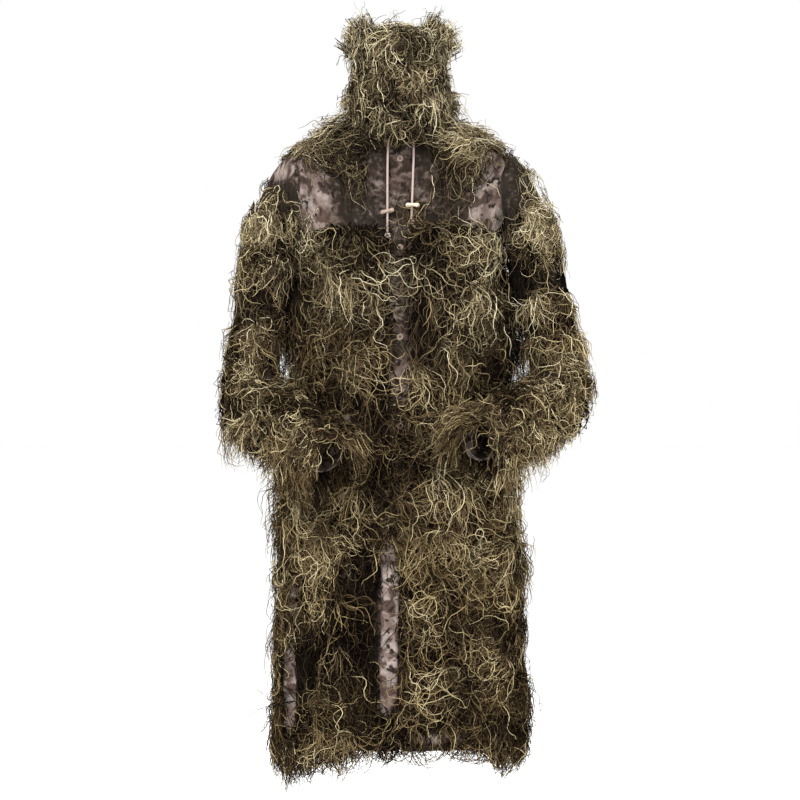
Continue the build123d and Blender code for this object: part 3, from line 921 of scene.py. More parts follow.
def yoke_cloth():
    """Chest yokes with a round lower corner at the armhole, shoulders and collar."""
    for side, sign in SIDES.items():
        rows, columns = 34, 40
        across = np.linspace(0.006, 1, columns)[None] * np.ones((rows, 1))
        drop = np.linspace(0, 1, rows)[:, None] * np.ones((1, columns))
        low = YOKE_Z - 0.004 + yoke_corner(across)
        z = YOKE_TOP_Z + (low - YOKE_TOP_Z) * drop
        turns = sign * across * ARMHOLE_TURN
        crease = 0.0016 * np.sin(26 * across + 5 * drop) * np.sin(np.pi * drop)
        crease += 0.0012 * np.sin(11 * across - 7 * drop)
        crease *= smooth(0.10, 0.22, across)
        points, _ = on_oval(YOKE, turns, z, crease + 0.0008)
        # How much dark net and painted shade the yoke's cloth gets: more towards the middle of the
        # chest, less towards the armhole.
        inner = 0.80 - 0.50 * smooth(0.40, 0.62, across) + 0.08 * np.sin(9 * across + 6 * drop)
        yoke = cloth(f"cloth_chest_yoke_{side}", points, flat_cut(points, (sign * 11.0, 2.1)),
                     net_and_shade=inner)
        declare_sheet(points)
        attach(yoke, "coat", nodes=[f"chest_yoke_{side}"])
        back = oval_panel(
            f"cloth_shoulder_{side}", YOKE, (sign * ARMHOLE_TURN, sign * (np.pi - 0.003)),
            (YOKE_TOP_Z, -0.030), 0.0008, 0.006, False, (sign * 14.0, 0.4),
        )
        attach(back, "coat", nodes=[f"shoulder_yoke_{side}"])
    collar_rows = np.array([(0.030, 0.086, 0.076), (0.050, 0.081, 0.072), (COLLAR_Z, 0.078, 0.070)])
    collar = oval_panel(
        "cloth_collar", collar_rows, (0, 2 * np.pi), (0.030, COLLAR_Z), 0.0, 0.005, False, (17, 0),
    )
    attach(collar, "coat", nodes=["collar_stand"])


def strip(name, centre, half, z, lift, offset, painted_shade_by_height, point_at=None):
    """A narrow strip down the front. Point_at is the height where its end starts to taper.

    The last argument pairs heights with how much painted shade darkens the cloth there, from 0 to 1.
    """
    zs = np.linspace(z[0], z[1], int(abs(z[1] - z[0]) / 0.006) + 1)
    width = np.full(len(zs), half)
    if point_at is not None:
        taper = np.clip((point_at - zs) / (point_at - z[1]), 0, 1)
        width = half * (1 - 0.9 * taper)
    drift = 0.0015 * np.sin(zs * 19)
    share = np.linspace(-1, 1, 13)[None]
    xs = centre + drift[:, None] + width[:, None] * share
    half_x, half_y = section(COAT, zs[:, None])
    edge = 1 - np.abs(share) ** 6
    wave = 0.0009 * np.sin(zs[:, None] * 47 + 3 * xs / 0.02)
    ys = -half_y * np.sqrt(1 - (xs / half_x) ** 2) - lift * (0.45 + 0.55 * edge) - wave
    points = np.stack([xs, ys, np.broadcast_to(zs[:, None], xs.shape)], -1)
    # Painted shade by height, handed on as the cloth's net and shade amount.
    dark = np.interp(points[..., 2], *np.array(painted_shade_by_height).T)
    obj = cloth(name, points, flat_cut(points, offset), thick=0.0016, net_and_shade=dark)
    declare_sheet(points)
    return obj


def closure():
    """The placket, its stand, stitched bars, and the loose fly below."""
    # The pairs at the end of each strip set how much painted shade darkens it at each height.
    placket = strip(
        "cloth_placket", 0.0, 0.025, (0.010, SKIRT_Z + 0.008), PLACKET_LIFT, (20, 0),
        ((-0.54, 0.80), (-0.48, 0.50), (-0.44, 0.44), (-0.40, 0.72), (-0.14, 0.76), (-0.02, 0.64)),
    )
    attach(placket, "coat", nodes=["fly_placket", "button_stand"])
    fly = strip(
        "cloth_fly", -0.021, 0.017, (SKIRT_Z + 0.02, -1.122), 0.008, (21, 0),
        ((-1.13, 0.25), (-0.95, 0.15), (-0.80, 0.35), (-0.70, 0.65)), point_at=-1.09,
    )
    attach(fly, "coat", "skirt_right", *SKIRT_BLEND, nodes=["skirt_placket"])
    under = strip(
        "cloth_underlap", 0.008, 0.008, (SKIRT_Z + 0.02, -1.115), 0.002, (22, 0),
        ((-1.2, 0.70), (-0.6, 0.8)),
    )
    attach(under, "coat", "skirt_left", *SKIRT_BLEND, nodes=["skirt_underlap"])
    for number, (x, z) in enumerate(((-0.017, -0.444), (-0.014, -0.510))):
        ys = -section(COAT, z)[1] - PLACKET_LIFT - 0.0012
        path = [(x + step, ys + 40 * step**2, z) for step in np.linspace(-0.010, 0.010, 5)]
        attach(tube(f"bar_tack_{number + 1}", path, 0.0016, stitching, 6, 0.6), "coat")


def seams():
    """Stitched edges of the yokes, and piping round the armholes."""
    for side, sign in SIDES.items():
        across = np.linspace(0.05, 1, 60)
        z = YOKE_Z - 0.002 + yoke_corner(across)
        path, _ = on_oval(YOKE, sign * across * ARMHOLE_TURN, z, 0.0016)
        attach(tube(f"seam_yoke_{side}", path, 0.0011, webbing, 6), "coat")
        path, _ = armhole_ring(side, np.linspace(0, 2 * np.pi, 65))
        attach(tube(f"seam_armhole_{side}", path, 0.0020, dark_tape, 8), "coat")


def hem():
    """A dark binding along the lower edge."""
    for name, body, turns, nodes in (
        ("back", "coat", (SIDE_TURN, 2 * np.pi - SIDE_TURN), ["hem_band"]),
        ("left", "skirt_left", (0.010, SIDE_TURN), []),
        ("right", "skirt_right", (-0.010, -SIDE_TURN), []),
    ):
        path, normal = on_coat(np.linspace(*turns, 90), HEM_Z + 0.004)
        band = tube(f"hem_binding_{name}", path, 0.0052, dark_tape, 8, 0.38, across=normal)
        attach(band, body, nodes=nodes)


# ---------------------------------------------------------------- sleeves
def armhole_ring(side, angle):
    """Points round the armhole on the coat's side, and how far round from the armpit each is.

    An angle here meets the same angle round the sleeve.
    """
    *_, across, under = arm_frame(side, 0)
    way = directions_round(across, under, angle)
    topmost = SIDES[side] * way[:, 0]
    y = way[:, 1] * 0.047
    z = -0.072 + 0.074 * topmost
    half_x, half_y = section(YOKE, z)
    x = SIDES[side] * (half_x + 0.002) * np.sqrt(1 - (y / half_y) ** 2)
    return np.column_stack([x, y, z]), 0.5 + 0.5 * topmost


def sleeve_head(side):
    """Points of a wrinkled sleeve from its armhole to half way down the upper arm."""
    start, along, length, across, under = arm_frame(side, 0)
    t = np.linspace(0.15, 0.55, 44)[:, None]
    angle = np.linspace(0, 2 * np.pi, SLEEVE_SIDES, endpoint=False)
    radius = SLEEVE_R[0] + (SLEEVE_R[1] - SLEEVE_R[0]) * t
    wave = np.sin(30 * t + 2 * np.sin(angle)) * (0.7 + 0.3 * np.sin(2 * angle + 5 * t))
    radius = radius - 0.002 + 0.0022 * wave + 0.0012 * np.sin(7 * angle + 12 * t)
    ring = directions_round(across, under, angle)
    lower = start + along * (t * length)[..., None] + ring * radius[..., None]
    hole, rise = armhole_ring(side, angle)
    leave = rise[:, None] * [SIDES[side] * 0.14, 0.0, 0.03]
    arrive = (0.25 + 0.75 * rise)[:, None] * along * 0.08
    s = np.linspace(0, 1, 18)[:-1, None, None]
    head = hole * (2 * s**3 - 3 * s**2 + 1) + leave * (s**3 - 2 * s**2 + s)
    head = head + lower[0] * (3 * s**2 - 2 * s**3) + arrive * (s**3 - s**2)
    return np.concatenate([head, lower])


def sleeve_net(points):
    """Net over most of a sleeve, worn away in patches; the same amount darkens the cloth with painted
    shade.
    """
    x, y, z = np.moveaxis(points, -1, 0)
    worn = np.sin(x * 31 + 1) * np.sin(z * 27) * np.sin(y * 40 + 2)
    return 0.9 - 0.6 * smooth(0.45, 0.75, worn)


def sleeves():
    """Sleeve cloth in two pieces, one across each joint, and the cuffs."""
    for side, sign in SIDES.items():
        shoulder, elbow, cuff = ARMS[side]
        along = unit(elbow - shoulder)
        head = sleeve_head(side)
        top = HEAD_TOP[side]
        # Less net and painted shade above the highest tufts, where the cloth shows.
        net_and_shade = sleeve_net(head) * (1 - 0.7 * smooth(top - 0.01, top + 0.02, head[..., 2]))
        piece = cloth(f"cloth_sleeve_{side}", head, flat_cut(head, (sign * 24, 0)), closed=True,
                      net_and_shade=net_and_shade)
        declare_sheet(head, closed=True)
        attach(piece, "coat", f"upper_arm_{side}", shoulder - along * 0.045, shoulder + along * 0.05,
               nodes=[f"upper_sleeve_{side}"])
        lower = elbow_grid(side, 0.53)
        piece = cloth(f"cloth_forearm_{side}", lower, flat_cut(lower, (sign * 27, 0)), closed=True,
                      net_and_shade=sleeve_net(lower))
        declare_sheet(lower, closed=True)
        lean = unit(unit(cuff - elbow) + along) * 0.06
        attach(piece, f"upper_arm_{side}", f"forearm_{side}", elbow - lean, elbow + lean,
               nodes=[f"forearm_sleeve_{side}"])
        make_cuff(side)


def elbow_grid(side, start_share):
    """A sleeve tube from part way down the upper arm, round the elbow, to the cuff."""
    shoulder, elbow, cuff = ARMS[side]
    first = shoulder + (elbow - shoulder) * start_share
    before = elbow + unit(shoulder - elbow) * ELBOW_BEND
    after = elbow + unit(cuff - elbow) * ELBOW_BEND
    end = cuff - unit(cuff - elbow) * (CUFF_LENGTH - 0.006)
    s = np.linspace(0, 1, 24)[:, None]
    corner = before * (1 - s) ** 2 + 2 * elbow * s * (1 - s) + after * s**2
    straight = np.linspace(0, 1, 16)[:, None]
    upper, fore = first + (before - first) * straight, after + (end - after) * straight
    path = np.concatenate([upper[:-1], corner, fore[1:]])
    tangent = unit(np.gradient(path, axis=0))
    across = unit(np.cross(shoulder - elbow, cuff - elbow))
    other = np.cross(across[None], tangent)
    angle = np.linspace(0, 2 * np.pi, SLEEVE_SIDES, endpoint=False)[None]
    run = arc_run(path[:, None], 0)
    share = run / run[-1]
    crumple = np.exp(-(((share - 0.45) / 0.22) ** 2))
    wave = np.sin(run * 190 + 1.5 * np.sin(angle)) * (0.6 + 0.4 * np.sin(2 * angle + 20 * run))
    radius = np.interp(share, [0, 0.45, 1], [0.047, 0.048, 0.041])
    radius = radius + (0.0012 + 0.0032 * crumple) * wave + 0.001 * np.sin(6 * angle + 25 * run)
    ring = directions_round(across, other[:, None], angle)
    return path[:, None] + ring * radius[..., None]


def make_cuff(side):
    """A cuff band over the sleeve's end, with its stitched edges."""
    cuff = ARMS[side][2]
    _, along, _, across, under = arm_frame(side, 1)
    angle = np.linspace(0, 2 * np.pi, 64, endpoint=False)[None]
    t = np.linspace(0, 1, 9)[:, None]
    radius = CUFF_R + 0.0010 * np.sin(3 * angle + 1) + 0.0006 * np.sin(np.pi * t)
    ring = directions_round(across, under, angle)
    grid = cuff - along * (CUFF_LENGTH * (1 - t))[..., None] + ring * radius[..., None]
    # The cuff's cloth gets a middling amount of dark net and painted shade.
    band = cloth(f"cloth_cuff_{side}", grid, flat_cut(grid, (30, 0)), thick=0.0024, closed=True,
                 net_and_shade=np.full(radius.shape, 0.55))
    declare_sheet(grid, closed=True)
    attach(band, f"forearm_{side}", nodes=[f"cuff_{side}"])
    loop = directions_round(across, under, np.linspace(0, 2 * np.pi, 49))
    for number, share in enumerate((0.12, 0.88)):
        path = cuff - along * CUFF_LENGTH * (1 - share) + (CUFF_R + 0.0009) * loop
        line = tube(f"cuff_stitch_{side}_{number + 1}", path, 0.0005, stitching, 4)
        attach(line, f"forearm_{side}")


# ---------------------------------------------------------------- hood and veil
def hood_cloth():
    """The hood with its face opening, and a rolled channel round it that hides the cord inside."""
    rows, columns = 60, 90
    rise = np.linspace(0, 0.985, rows)[:, None]
    z = on_hood(0.0, rise)[0][..., 2]
    arch = np.sqrt(np.clip(1 - (np.clip(z - (FACE_TOP - 0.045), 0, None) / 0.045) ** 2, 0, 1))
    edge = np.arcsin(FACE_HALF / HOOD_HALF[0]) * arch + 0.004
    turns = edge + (2 * np.pi - 2 * edge) * np.linspace(0, 1, columns)[None]
    points, normal = on_hood(turns, rise + 0 * turns)
    points = points + normal * (0.0015 * np.sin(5 * turns + 9 * rise) - 0.002)[..., None]
    # The hood's cloth lies almost wholly under the dark net and painted shade.
    hood = cloth("cloth_hood", points, flat_cut(points, (33, 0)), net_and_shade=np.full(turns.shape, 0.9))
    declare_sheet(points)
    attach(hood, "hood", nodes=["hood_side_left", "hood_side_right", "hood_centre"])
    keep = z[:, 0] < FACE_TOP - 0.0005
    path = np.concatenate([points[keep, 0], points[keep, -1][::-1]])
    outward = unit(path * [1, 1, 0])
    path = path + outward * 0.002
    channel = tube("hood_channel_roll", path, 0.0062, camo, 10, 0.75, outward)
    attach(channel, "hood", nodes=["hood_channel", "hood_drawcord"])


def nape():
    """Cloth and threads that join the hood to the collar."""
    turn = np.linspace(0.80, 2 * np.pi - 0.80, 61)
    share = np.linspace(0, 1, 33)[:, None]
    around = np.stack([np.sin(turn), -np.cos(turn), 0 * turn], -1)
    radii = np.array([0.0825, 0.0740, 0.0]) * (1 - share) + np.array([0.0785, 0.0920, 0.0]) * share
    rise = NAPE_Z[0] + (NAPE_Z[1] - NAPE_Z[0]) * share
    points = around * radii[:, None] + rise[..., None] * [0, 0, 1]
    # The nape's cloth lies almost wholly under the dark net and painted shade.
    gusset = cloth("cloth_nape", points, flat_cut(points, (36, 0)),
                   net_and_shade=np.full(points.shape[:2], 0.9))
    declare_sheet(points)
    rng = np.random.default_rng(650)
    knots, per_knot = 90, 20
    turn = rng.uniform(0.85, 2 * np.pi - 0.85, knots)
    spots = np.column_stack([0.08 * np.sin(turn), -0.09 * np.cos(turn), rng.uniform(*NAPE_Z, knots)])
    spots, normals = hold_to_hood(spots, 0.001, 0.001)
    level = np.cross([0, 0, 1], normals) * rng.choice([-1, 1], knots)[:, None]
    tufts = threads(
        "jute_nape", 651, (spots, normals), per_knot, (0.04, 0.08), hold=hold_to_hood, steps=12,
        droop=0, curl=60, spread=0.35, layer=(0.001, 0.006), loose=0.003, tone=0.46, own_vary=0.24,
        sweep=np.repeat(level, per_knot, axis=0), keep=clear_of_loop,
    )
    for piece in (gusset, tufts):
        attach(piece, "coat", "hood", (0, 0, NAPE_Z[0]), (0, 0, NAPE_Z[1]))


def veil_net():
    """A knotted net that hangs in front of the face."""
    low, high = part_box("veil_net")
    pitch, height, width = 0.014, high.z - low.z, high.x - low.x
    along = np.linspace(0, 1, 14)
    lines = []
    for slope in (1, -1):
        for start in np.arange(-height + pitch, width, pitch):
            near, far = max(0, -start), min(height, width - start)
            t = near + (far - near) * along
            x = low.x + start + t if slope > 0 else high.x - start - t
            lines.append(np.column_stack([x, -0.131 * np.sqrt(1 - (x / 0.101) ** 2), low.z + t]))
    count = len(lines)
    plain = np.full(count, 0.15)
    net = thread_mesh("veil_netting", np.array(lines), np.full(count, 0.0009), plain, plain, netting)
    attach(net, "veil", nodes=["veil_net"])


def hold_to_veil(p, low, high):
    """The same for threads in front of the face net."""
    front = -0.132 * np.sqrt(np.clip(1 - (p[:, 0] / 0.105) ** 2, 0.04, 1))
    y = np.clip(p[:, 1], front - high, front - low)
    outward = unit(np.column_stack([p[:, 0] * 3, front, 0 * front]))
    return np.column_stack([p[:, 0], y, p[:, 2]]), outward


# ---------------------------------------------------------------- thread pieces
def coat_threads():
    """Undercoat, hanging middle coat and curly top tufts, over the whole coat."""
    hem_z, full_turn = HEM_Z + 0.01, 2 * np.pi
    regions = []
    for side, sign in SIDES.items():
        skirt = ("coat", f"skirt_{side}", *SKIRT_BLEND)
        for name, turns, span, bodies, nodes in (
            ("front", (0.03, SIDE_TURN + 0.10), (YOKE_Z - 0.006, -0.61), ("coat",),
             [f"jute_front_{side}"]),
            ("skirt", (0.02, SIDE_TURN + 0.02), (-0.60, hem_z), skirt, [f"jute_skirt_{side}"]),
            ("side", (SIDE_TURN, 2.2), (-0.16, -0.47), ("coat",), []),
        ):
            regions.append((f"{name}_{side}", sorted(sign * t for t in turns), span, bodies, nodes))
    regions += [
        ("back_upper", (2.1, full_turn - 2.1), (-0.05, -0.44), ("coat",), ["jute_back"]),
        ("back_middle", (1.5, full_turn - 1.5), (-0.44, -0.82), ("coat",), []),
        ("back_lower", (SIDE_TURN, full_turn - SIDE_TURN), (-0.82, hem_z), ("coat",), ["jute_sides"]),
    ]
    for number, (name, turns, span, bodies, nodes) in enumerate(regions):
        rng = np.random.default_rng(100 + number)
        seed = 200 + 10 * number
        behind = name.startswith("back")
        wide = 1.35 if behind else 1.0
        under = rows_on_coat(rng, turns, span, 0.030 * wide, 0.022 * wide)
        middle = rows_on_coat(rng, turns, span, 0.036 * wide, 0.024 * wide)
        heap_rows = rows_on_coat(rng, turns, span, 0.066, 0.060)
        tops = heaps(rng, heap_rows[0], 2, 0.016, hold_to_coat)
        pieces = [
            threads(f"jute_under_{name}", seed, under, 6, (0.06, 0.11), keep=on_cloth, **UNDERCOAT_IN_PAINTED_SHADE),
            threads(f"jute_middle_{name}", seed + 1, middle, 7, (0.09, 0.15), keep=on_cloth, **MIDCOAT),
            threads(f"jute_{name}", seed + 2, tops, 17 if behind else 35, (0.08, 0.17), keep=on_cloth,
                    tone=0.47, own_vary=0.24, spots=0 if behind else 1.0, steps=12 if behind else 14),
        ]
        attach_all(pieces, *bodies, nodes=nodes)


def yoke_threads():
    """A dense dark fringe under each chest yoke, and a few threads across the yoke."""
    for side, sign in SIDES.items():
        rng = np.random.default_rng(31 + sign)
        x = sign * rng.uniform(0.026, 0.150, 120)
        turns = np.arcsin(x / section(YOKE, YOKE_Z)[0])
        knots = on_oval(YOKE, turns, YOKE_Z - 0.002)
        fringe = threads(
            f"jute_yoke_fringe_{side}", 41 + sign, knots, 8, (0.05, 0.12), thick=0.0011, tone=0.20,
            vary=0.08, spots=0, steps=8, lift=0.10, spread=0.12, droop=24, curl=16,
            layer=(0.001, 0.006), loose=0.004, keep=beside_cords,
        )
        count = 44
        turns = sign * rng.uniform(0.20, 0.95, count)
        knots = on_oval(YOKE, turns, rng.uniform(-0.04, 0.02, count), 0.002)
        across = threads(
            f"jute_yoke_{side}", 45 + sign, knots, 9, (0.06, 0.14), tone=0.30, vary=0.16, steps=12,
            lift=0.2, curl=60, layer=(0.008, 0.016), loose=0.004,
            keep=lambda paths, rng: beside_cords(paths, rng) & off_the_yoke(paths, rng),
        )
        attach_all([fringe, across], "coat")


def hem_fringe():
    """Long threads that hang under the hem in clumps."""
    spans = (
        ("back", (SIDE_TURN, 2 * np.pi - SIDE_TURN), 24),
        ("left", (0.06, SIDE_TURN), 11),
        ("right", (-SIDE_TURN, -0.06), 13),
    )
    for name, turns, count in spans:
        rng = np.random.default_rng(900 + count)
        turn = np.linspace(*turns, count) + rng.normal(size=count) * 0.03
        middles, _ = on_coat(turn, HEM_Z + rng.uniform(0.0, 0.05, count), 0.001)
        knots = heaps(rng, middles, 6, 0.013, hold_to_coat)
        piece = threads(
            f"jute_hem_{name}", 910 + count, knots, 12, (0.05, 0.12), tone=0.34, spots=0.4,
            steps=11, spread=0.4, droop=14, curl=50, layer=(0.001, 0.012), keep=on_cloth,
        )
        attach(piece, "coat" if name == "back" else f"skirt_{name}", nodes=[f"fringe_{name}"])


def knots_on_arm(rng, side, joint, places, gap_angle, facing=-2.0):
    """Knots in rings round one stretch of an arm. Facing leaves out those near the coat."""
    start, along, length, across, under = arm_frame(side, joint)
    t, angle = np.meshgrid(places, np.arange(0, 2 * np.pi, gap_angle), indexing="ij")
    t = t.ravel() + rng.normal(size=t.size) * 0.02
    angle = angle.ravel() + rng.normal(size=t.size) * gap_angle * 0.3
    normal = directions_round(across, under, angle)
    points = start + along * (t * length)[:, None] + normal * (SLEEVE_R[joint] + 0.001)
    outer = normal[:, 0] * SIDES[side] > facing
    return points[outer], normal[outer]


def sleeve_threads():
    """Rows of tufts round each sleeve, in one set of pieces across each joint."""
    for side, sign in SIDES.items():
        hold = hold_to_arm(side)
        for joint, part in ((0, "upper"), (1, "forearm")):
            start, along, _, _, _ = arm_frame(side, joint)
            rng = np.random.default_rng(700 + 10 * joint + sign)
            seed = 720 + 20 * joint + 5 * sign
            low, high, facing = (0.14, 0.95, -0.6) if joint == 0 else (-0.05, 0.86, -2.0)
            sweep = None if joint == 0 else unit(along * 0.8 + DOWN * 0.8)
            under = knots_on_arm(rng, side, joint, np.arange(low, high, 0.075), 0.50, facing)
            middle = knots_on_arm(rng, side, joint, np.arange(low, high, 0.100), 0.55, facing)
            rows = knots_on_arm(rng, side, joint, SLEEVE_ROWS[side][joint], 0.55, facing)
            tops = heaps(rng, rows[0], 2, 0.009, hold)
            pieces = [
                threads(f"jute_under_{part}_{side}", seed, under, 6, (0.05, 0.10), hold=hold,
                        **UNDERCOAT_IN_PAINTED_SHADE),
                threads(f"jute_middle_{part}_{side}", seed + 1, middle, 6, (0.05, 0.09), hold=hold,
                        sweep=sweep, **MIDCOAT),
                threads(f"jute_{part}_{side}", seed + 2, tops, 30, (0.05, 0.11), hold=hold,
                        sweep=sweep, layer=(0.002, 0.017), loose=0.006, droop=11, tone=0.46,
                        spread=0.9, curl=90, own_vary=0.24, steps=11, keep=off_the_yoke),
            ]
            if joint == 0:
                pieces.insert(0, head_threads(rng, side, hold))
                bodies, lean = ("coat", f"upper_arm_{side}"), along * 0.048
            else:
                bodies = (f"upper_arm_{side}", f"forearm_{side}")
                lean = unit(along + arm_frame(side, 0)[1]) * 0.06
            attach_all(pieces, *bodies, start - lean, start + lean, nodes=[f"jute_{part}_{side}"])
        cuff_threads(side, hold)


def head_threads(rng, side, hold):
    """Tufts over the top of a sleeve, below the height where its cloth starts to show."""
    grid = sleeve_head(side)[3:19]
    outward = unit(grid - grid.mean(1, keepdims=True))
    points, outward = grid.reshape(-1, 3), outward.reshape(-1, 3)
    chosen = (points[:, 2] < HEAD_TOP[side]) & (points[:, 0] * SIDES[side] > 0.215)
    picked = rng.choice(np.flatnonzero(chosen), 26, replace=False)
    knots = heaps(rng, points[picked] + outward[picked] * 0.002, 2, 0.008, hold)
    return threads(f"jute_head_{side}", 760 + SIDES[side], knots, 20, (0.05, 0.10), hold=hold,
                   lift=0.5, spread=0.7, layer=(0.002, 0.013), loose=0.007, droop=15, tone=0.46,
                   keep=off_the_yoke)


def cuff_threads(side, hold):
    """Tufts sewn to the upper side of the cuff, long enough to hang in front of its opening."""
    _, along, _, across, under = arm_frame(side, 1)
    rng = np.random.default_rng(780 + SIDES[side])
    count = 44
    turn = rng.uniform(-1.4, 1.4, count)
    normal = across * np.sin(turn)[:, None] - under * np.cos(turn)[:, None]
    back = rng.uniform(0.001, 0.022, count)[:, None]
    points = ARMS[side][2] - along * back + normal * (SLEEVE_R[2] + 0.004)
    piece = threads(
        f"jute_cuff_{side}", 790 + SIDES[side], (points, normal), 26, (0.07, 0.11), hold=hold,
        lift=0.2, spread=0.6, layer=(0.002, 0.010), loose=0.006, droop=12, tone=0.40, curl=95,
        own_vary=0.24, sweep=along * 0.35 + DOWN * 0.9,
    )
    attach(piece, f"forearm_{side}")


def above_cords(paths, rng):
    """Which threads stay: those that leave the throat clear."""
    x, y, z = np.moveaxis(paths, -1, 0)
    return ~((np.abs(x) < 0.060) & (y < 0) & (z < -0.002)).any(1)


def beside_cords(paths, rng):
    """Which threads stay: those that don't hang in front of the cord ends."""
    x, y, z = np.moveaxis(paths, -1, 0)
    return ~((np.abs(x) < 0.044) & (y < 0) & (z > -0.19)).any(1)


def off_the_yoke(paths, rng):
    """Which threads stay: those that leave the throat and the yokes' bare patches clear."""
    x, y, z = np.moveaxis(paths, -1, 0)
    kept = above_cords(paths, rng)
    for x_low, x_high, z_low, z_high in YOKE_PATCHES:
        inside = (x > x_low) & (x < x_high) & (z > z_low) & (z < z_high) & (y < 0)
        kept &= ~inside.any(1) | (rng.random(len(paths)) < 0.10)
    return kept


def shoulder_threads():
    """Heavy tufts over each shoulder, and round the neck under the hood."""
    for side, sign in SIDES.items():
        rng = np.random.default_rng(810 + sign)
        count = 24
        turn = sign * rng.uniform(0.80, 2.3, count)
        middles, _ = on_oval(YOKE, turn, rng.uniform(-0.006, 0.030, count), 0.004)
        knots = heaps(rng, middles, 2, 0.012, hold_to_coat)
        piece = threads(
            f"jute_shoulder_{side}", 820 + sign, knots, 26, (0.06, 0.13), lift=0.9, tone=0.45,
            spread=0.9, layer=(0.004, 0.018), keep=off_the_yoke,
        )
        attach(piece, "coat", nodes=[f"jute_shoulder_{side}"])
    rng = np.random.default_rng(840)
    count = 26
    turn = rng.uniform(0.35, 2 * np.pi - 0.35, count)
    middles, _ = on_oval(YOKE, turn, rng.uniform(0.018, 0.034, count), 0.002)
    knots = heaps(rng, middles, 2, 0.010, hold_to_coat)
    piece = threads(
        "jute_neck", 841, knots, 26, (0.07, 0.14), tone=0.44, lift=0.8, spread=0.8,
        layer=(0.003, 0.018), keep=off_the_yoke,
    )
    attach(piece, "coat")


def lock(name, seed, place, normal, count, length, hold, bodies, stand_off=0.02, **course):
    """One thick hank that hangs from a place, and stands off the cloth."""
    rng = np.random.default_rng(seed)
    points = np.array(place) + rng.normal(size=(KNOTS_PER_HANK, 3)) * 0.011
    normals = unit(unit(np.array(normal, float)) + rng.normal(size=(KNOTS_PER_HANK, 3)) * 0.25)
    piece = threads(
        name, seed, (points, normals), count // KNOTS_PER_HANK, length, vary=0.08, lift=0.8,
        spread=0.6, layer=(stand_off * 0.3, stand_off), loose=0.012, hold=hold, **course,
    )
    attach(piece, *bodies)


def locks():
    """Hanks under the arms, at the hip and hem, and on the sleeves, cuffs, shoulders and hood."""
    for number, (turn, z, size) in enumerate(COAT_HANKS):
        place, normal = on_coat(np.array(turn), np.array(z), 0.004)
        skirt = "skirt_right" if turn < 0 else "skirt_left"
        bodies = ("coat", skirt, *SKIRT_BLEND) if abs(turn) < 1.4 else ("coat",)
        under_arm = z > -0.5
        # The hanks under the arms are near black: painted shade in the gap between the arm and the coat.
        count, tone = (170, 0.16) if under_arm else (90, 0.42)
        lock(
            f"jute_lock_skirt_{number + 1}", 1000 + number, place, normal, count, (0.09, 0.16),
            hold_to_coat, bodies, size, keep=on_cloth, tone=tone, free=not under_arm,
        )
    for number, (side, joint, share, way) in enumerate(SLEEVE_HANKS):
        start, along, length, _, _ = arm_frame(side, joint)
        place = start + along * share * length + unit(np.array(way)) * (SLEEVE_R[1] + 0.004)
        body = f"upper_arm_{side}" if joint == 0 else f"forearm_{side}"
        lock(
            f"jute_lock_sleeve_{number + 1}", 1020 + number, place, way, 100, (0.08, 0.15),
            hold_to_arm(side), (body,), 0.022, tone=0.48,
        )
    for side, count in (("right", 30), ("left", 160)):
        start, along, length, _, under = arm_frame(side, 1)
        lock(
            f"jute_lock_cuff_{side}", 1090 + SIDES[side], start + along * length - under * 0.047,
            along - under, count, (0.07, 0.12), hold_to_arm(side), (f"forearm_{side}",), 0.020,
            tone=0.52, curl=90, sweep=along * 0.5 + DOWN * 0.8,
        )
    for number, (place, way, count, length, stand_off) in enumerate(SHOULDER_HANKS):
        lock(
            f"jute_lock_shoulder_{number + 1}", 1060 + number, place, way, count, length, hold_to_coat,
            ("coat",), stand_off, tone=0.48, droop=11, curl=90, own_vary=0.24, keep=off_the_yoke,
        )
    for number, (place, way, count, length, stand_off) in enumerate(HOOD_HANKS):
        lock(
            f"jute_lock_hood_{number + 1}", 1040 + number, place, way, count, length, hold_to_hood,
            ("hood",), stand_off, tone=0.58, droop=8, curl=95, own_vary=0.26,
            free=number == FREE_HOOD_HANK,
        )


def clear_of_loop(paths, rng):
    """Which threads stay: those that leave the hanging loop behind the collar clear."""
    _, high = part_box("hang_loop")
    x, y, z = np.moveaxis(paths, -1, 0)
    return ~((np.abs(x) < high.x + 0.02) & (y > 0) & (z < high.z + 0.015)).any(1)


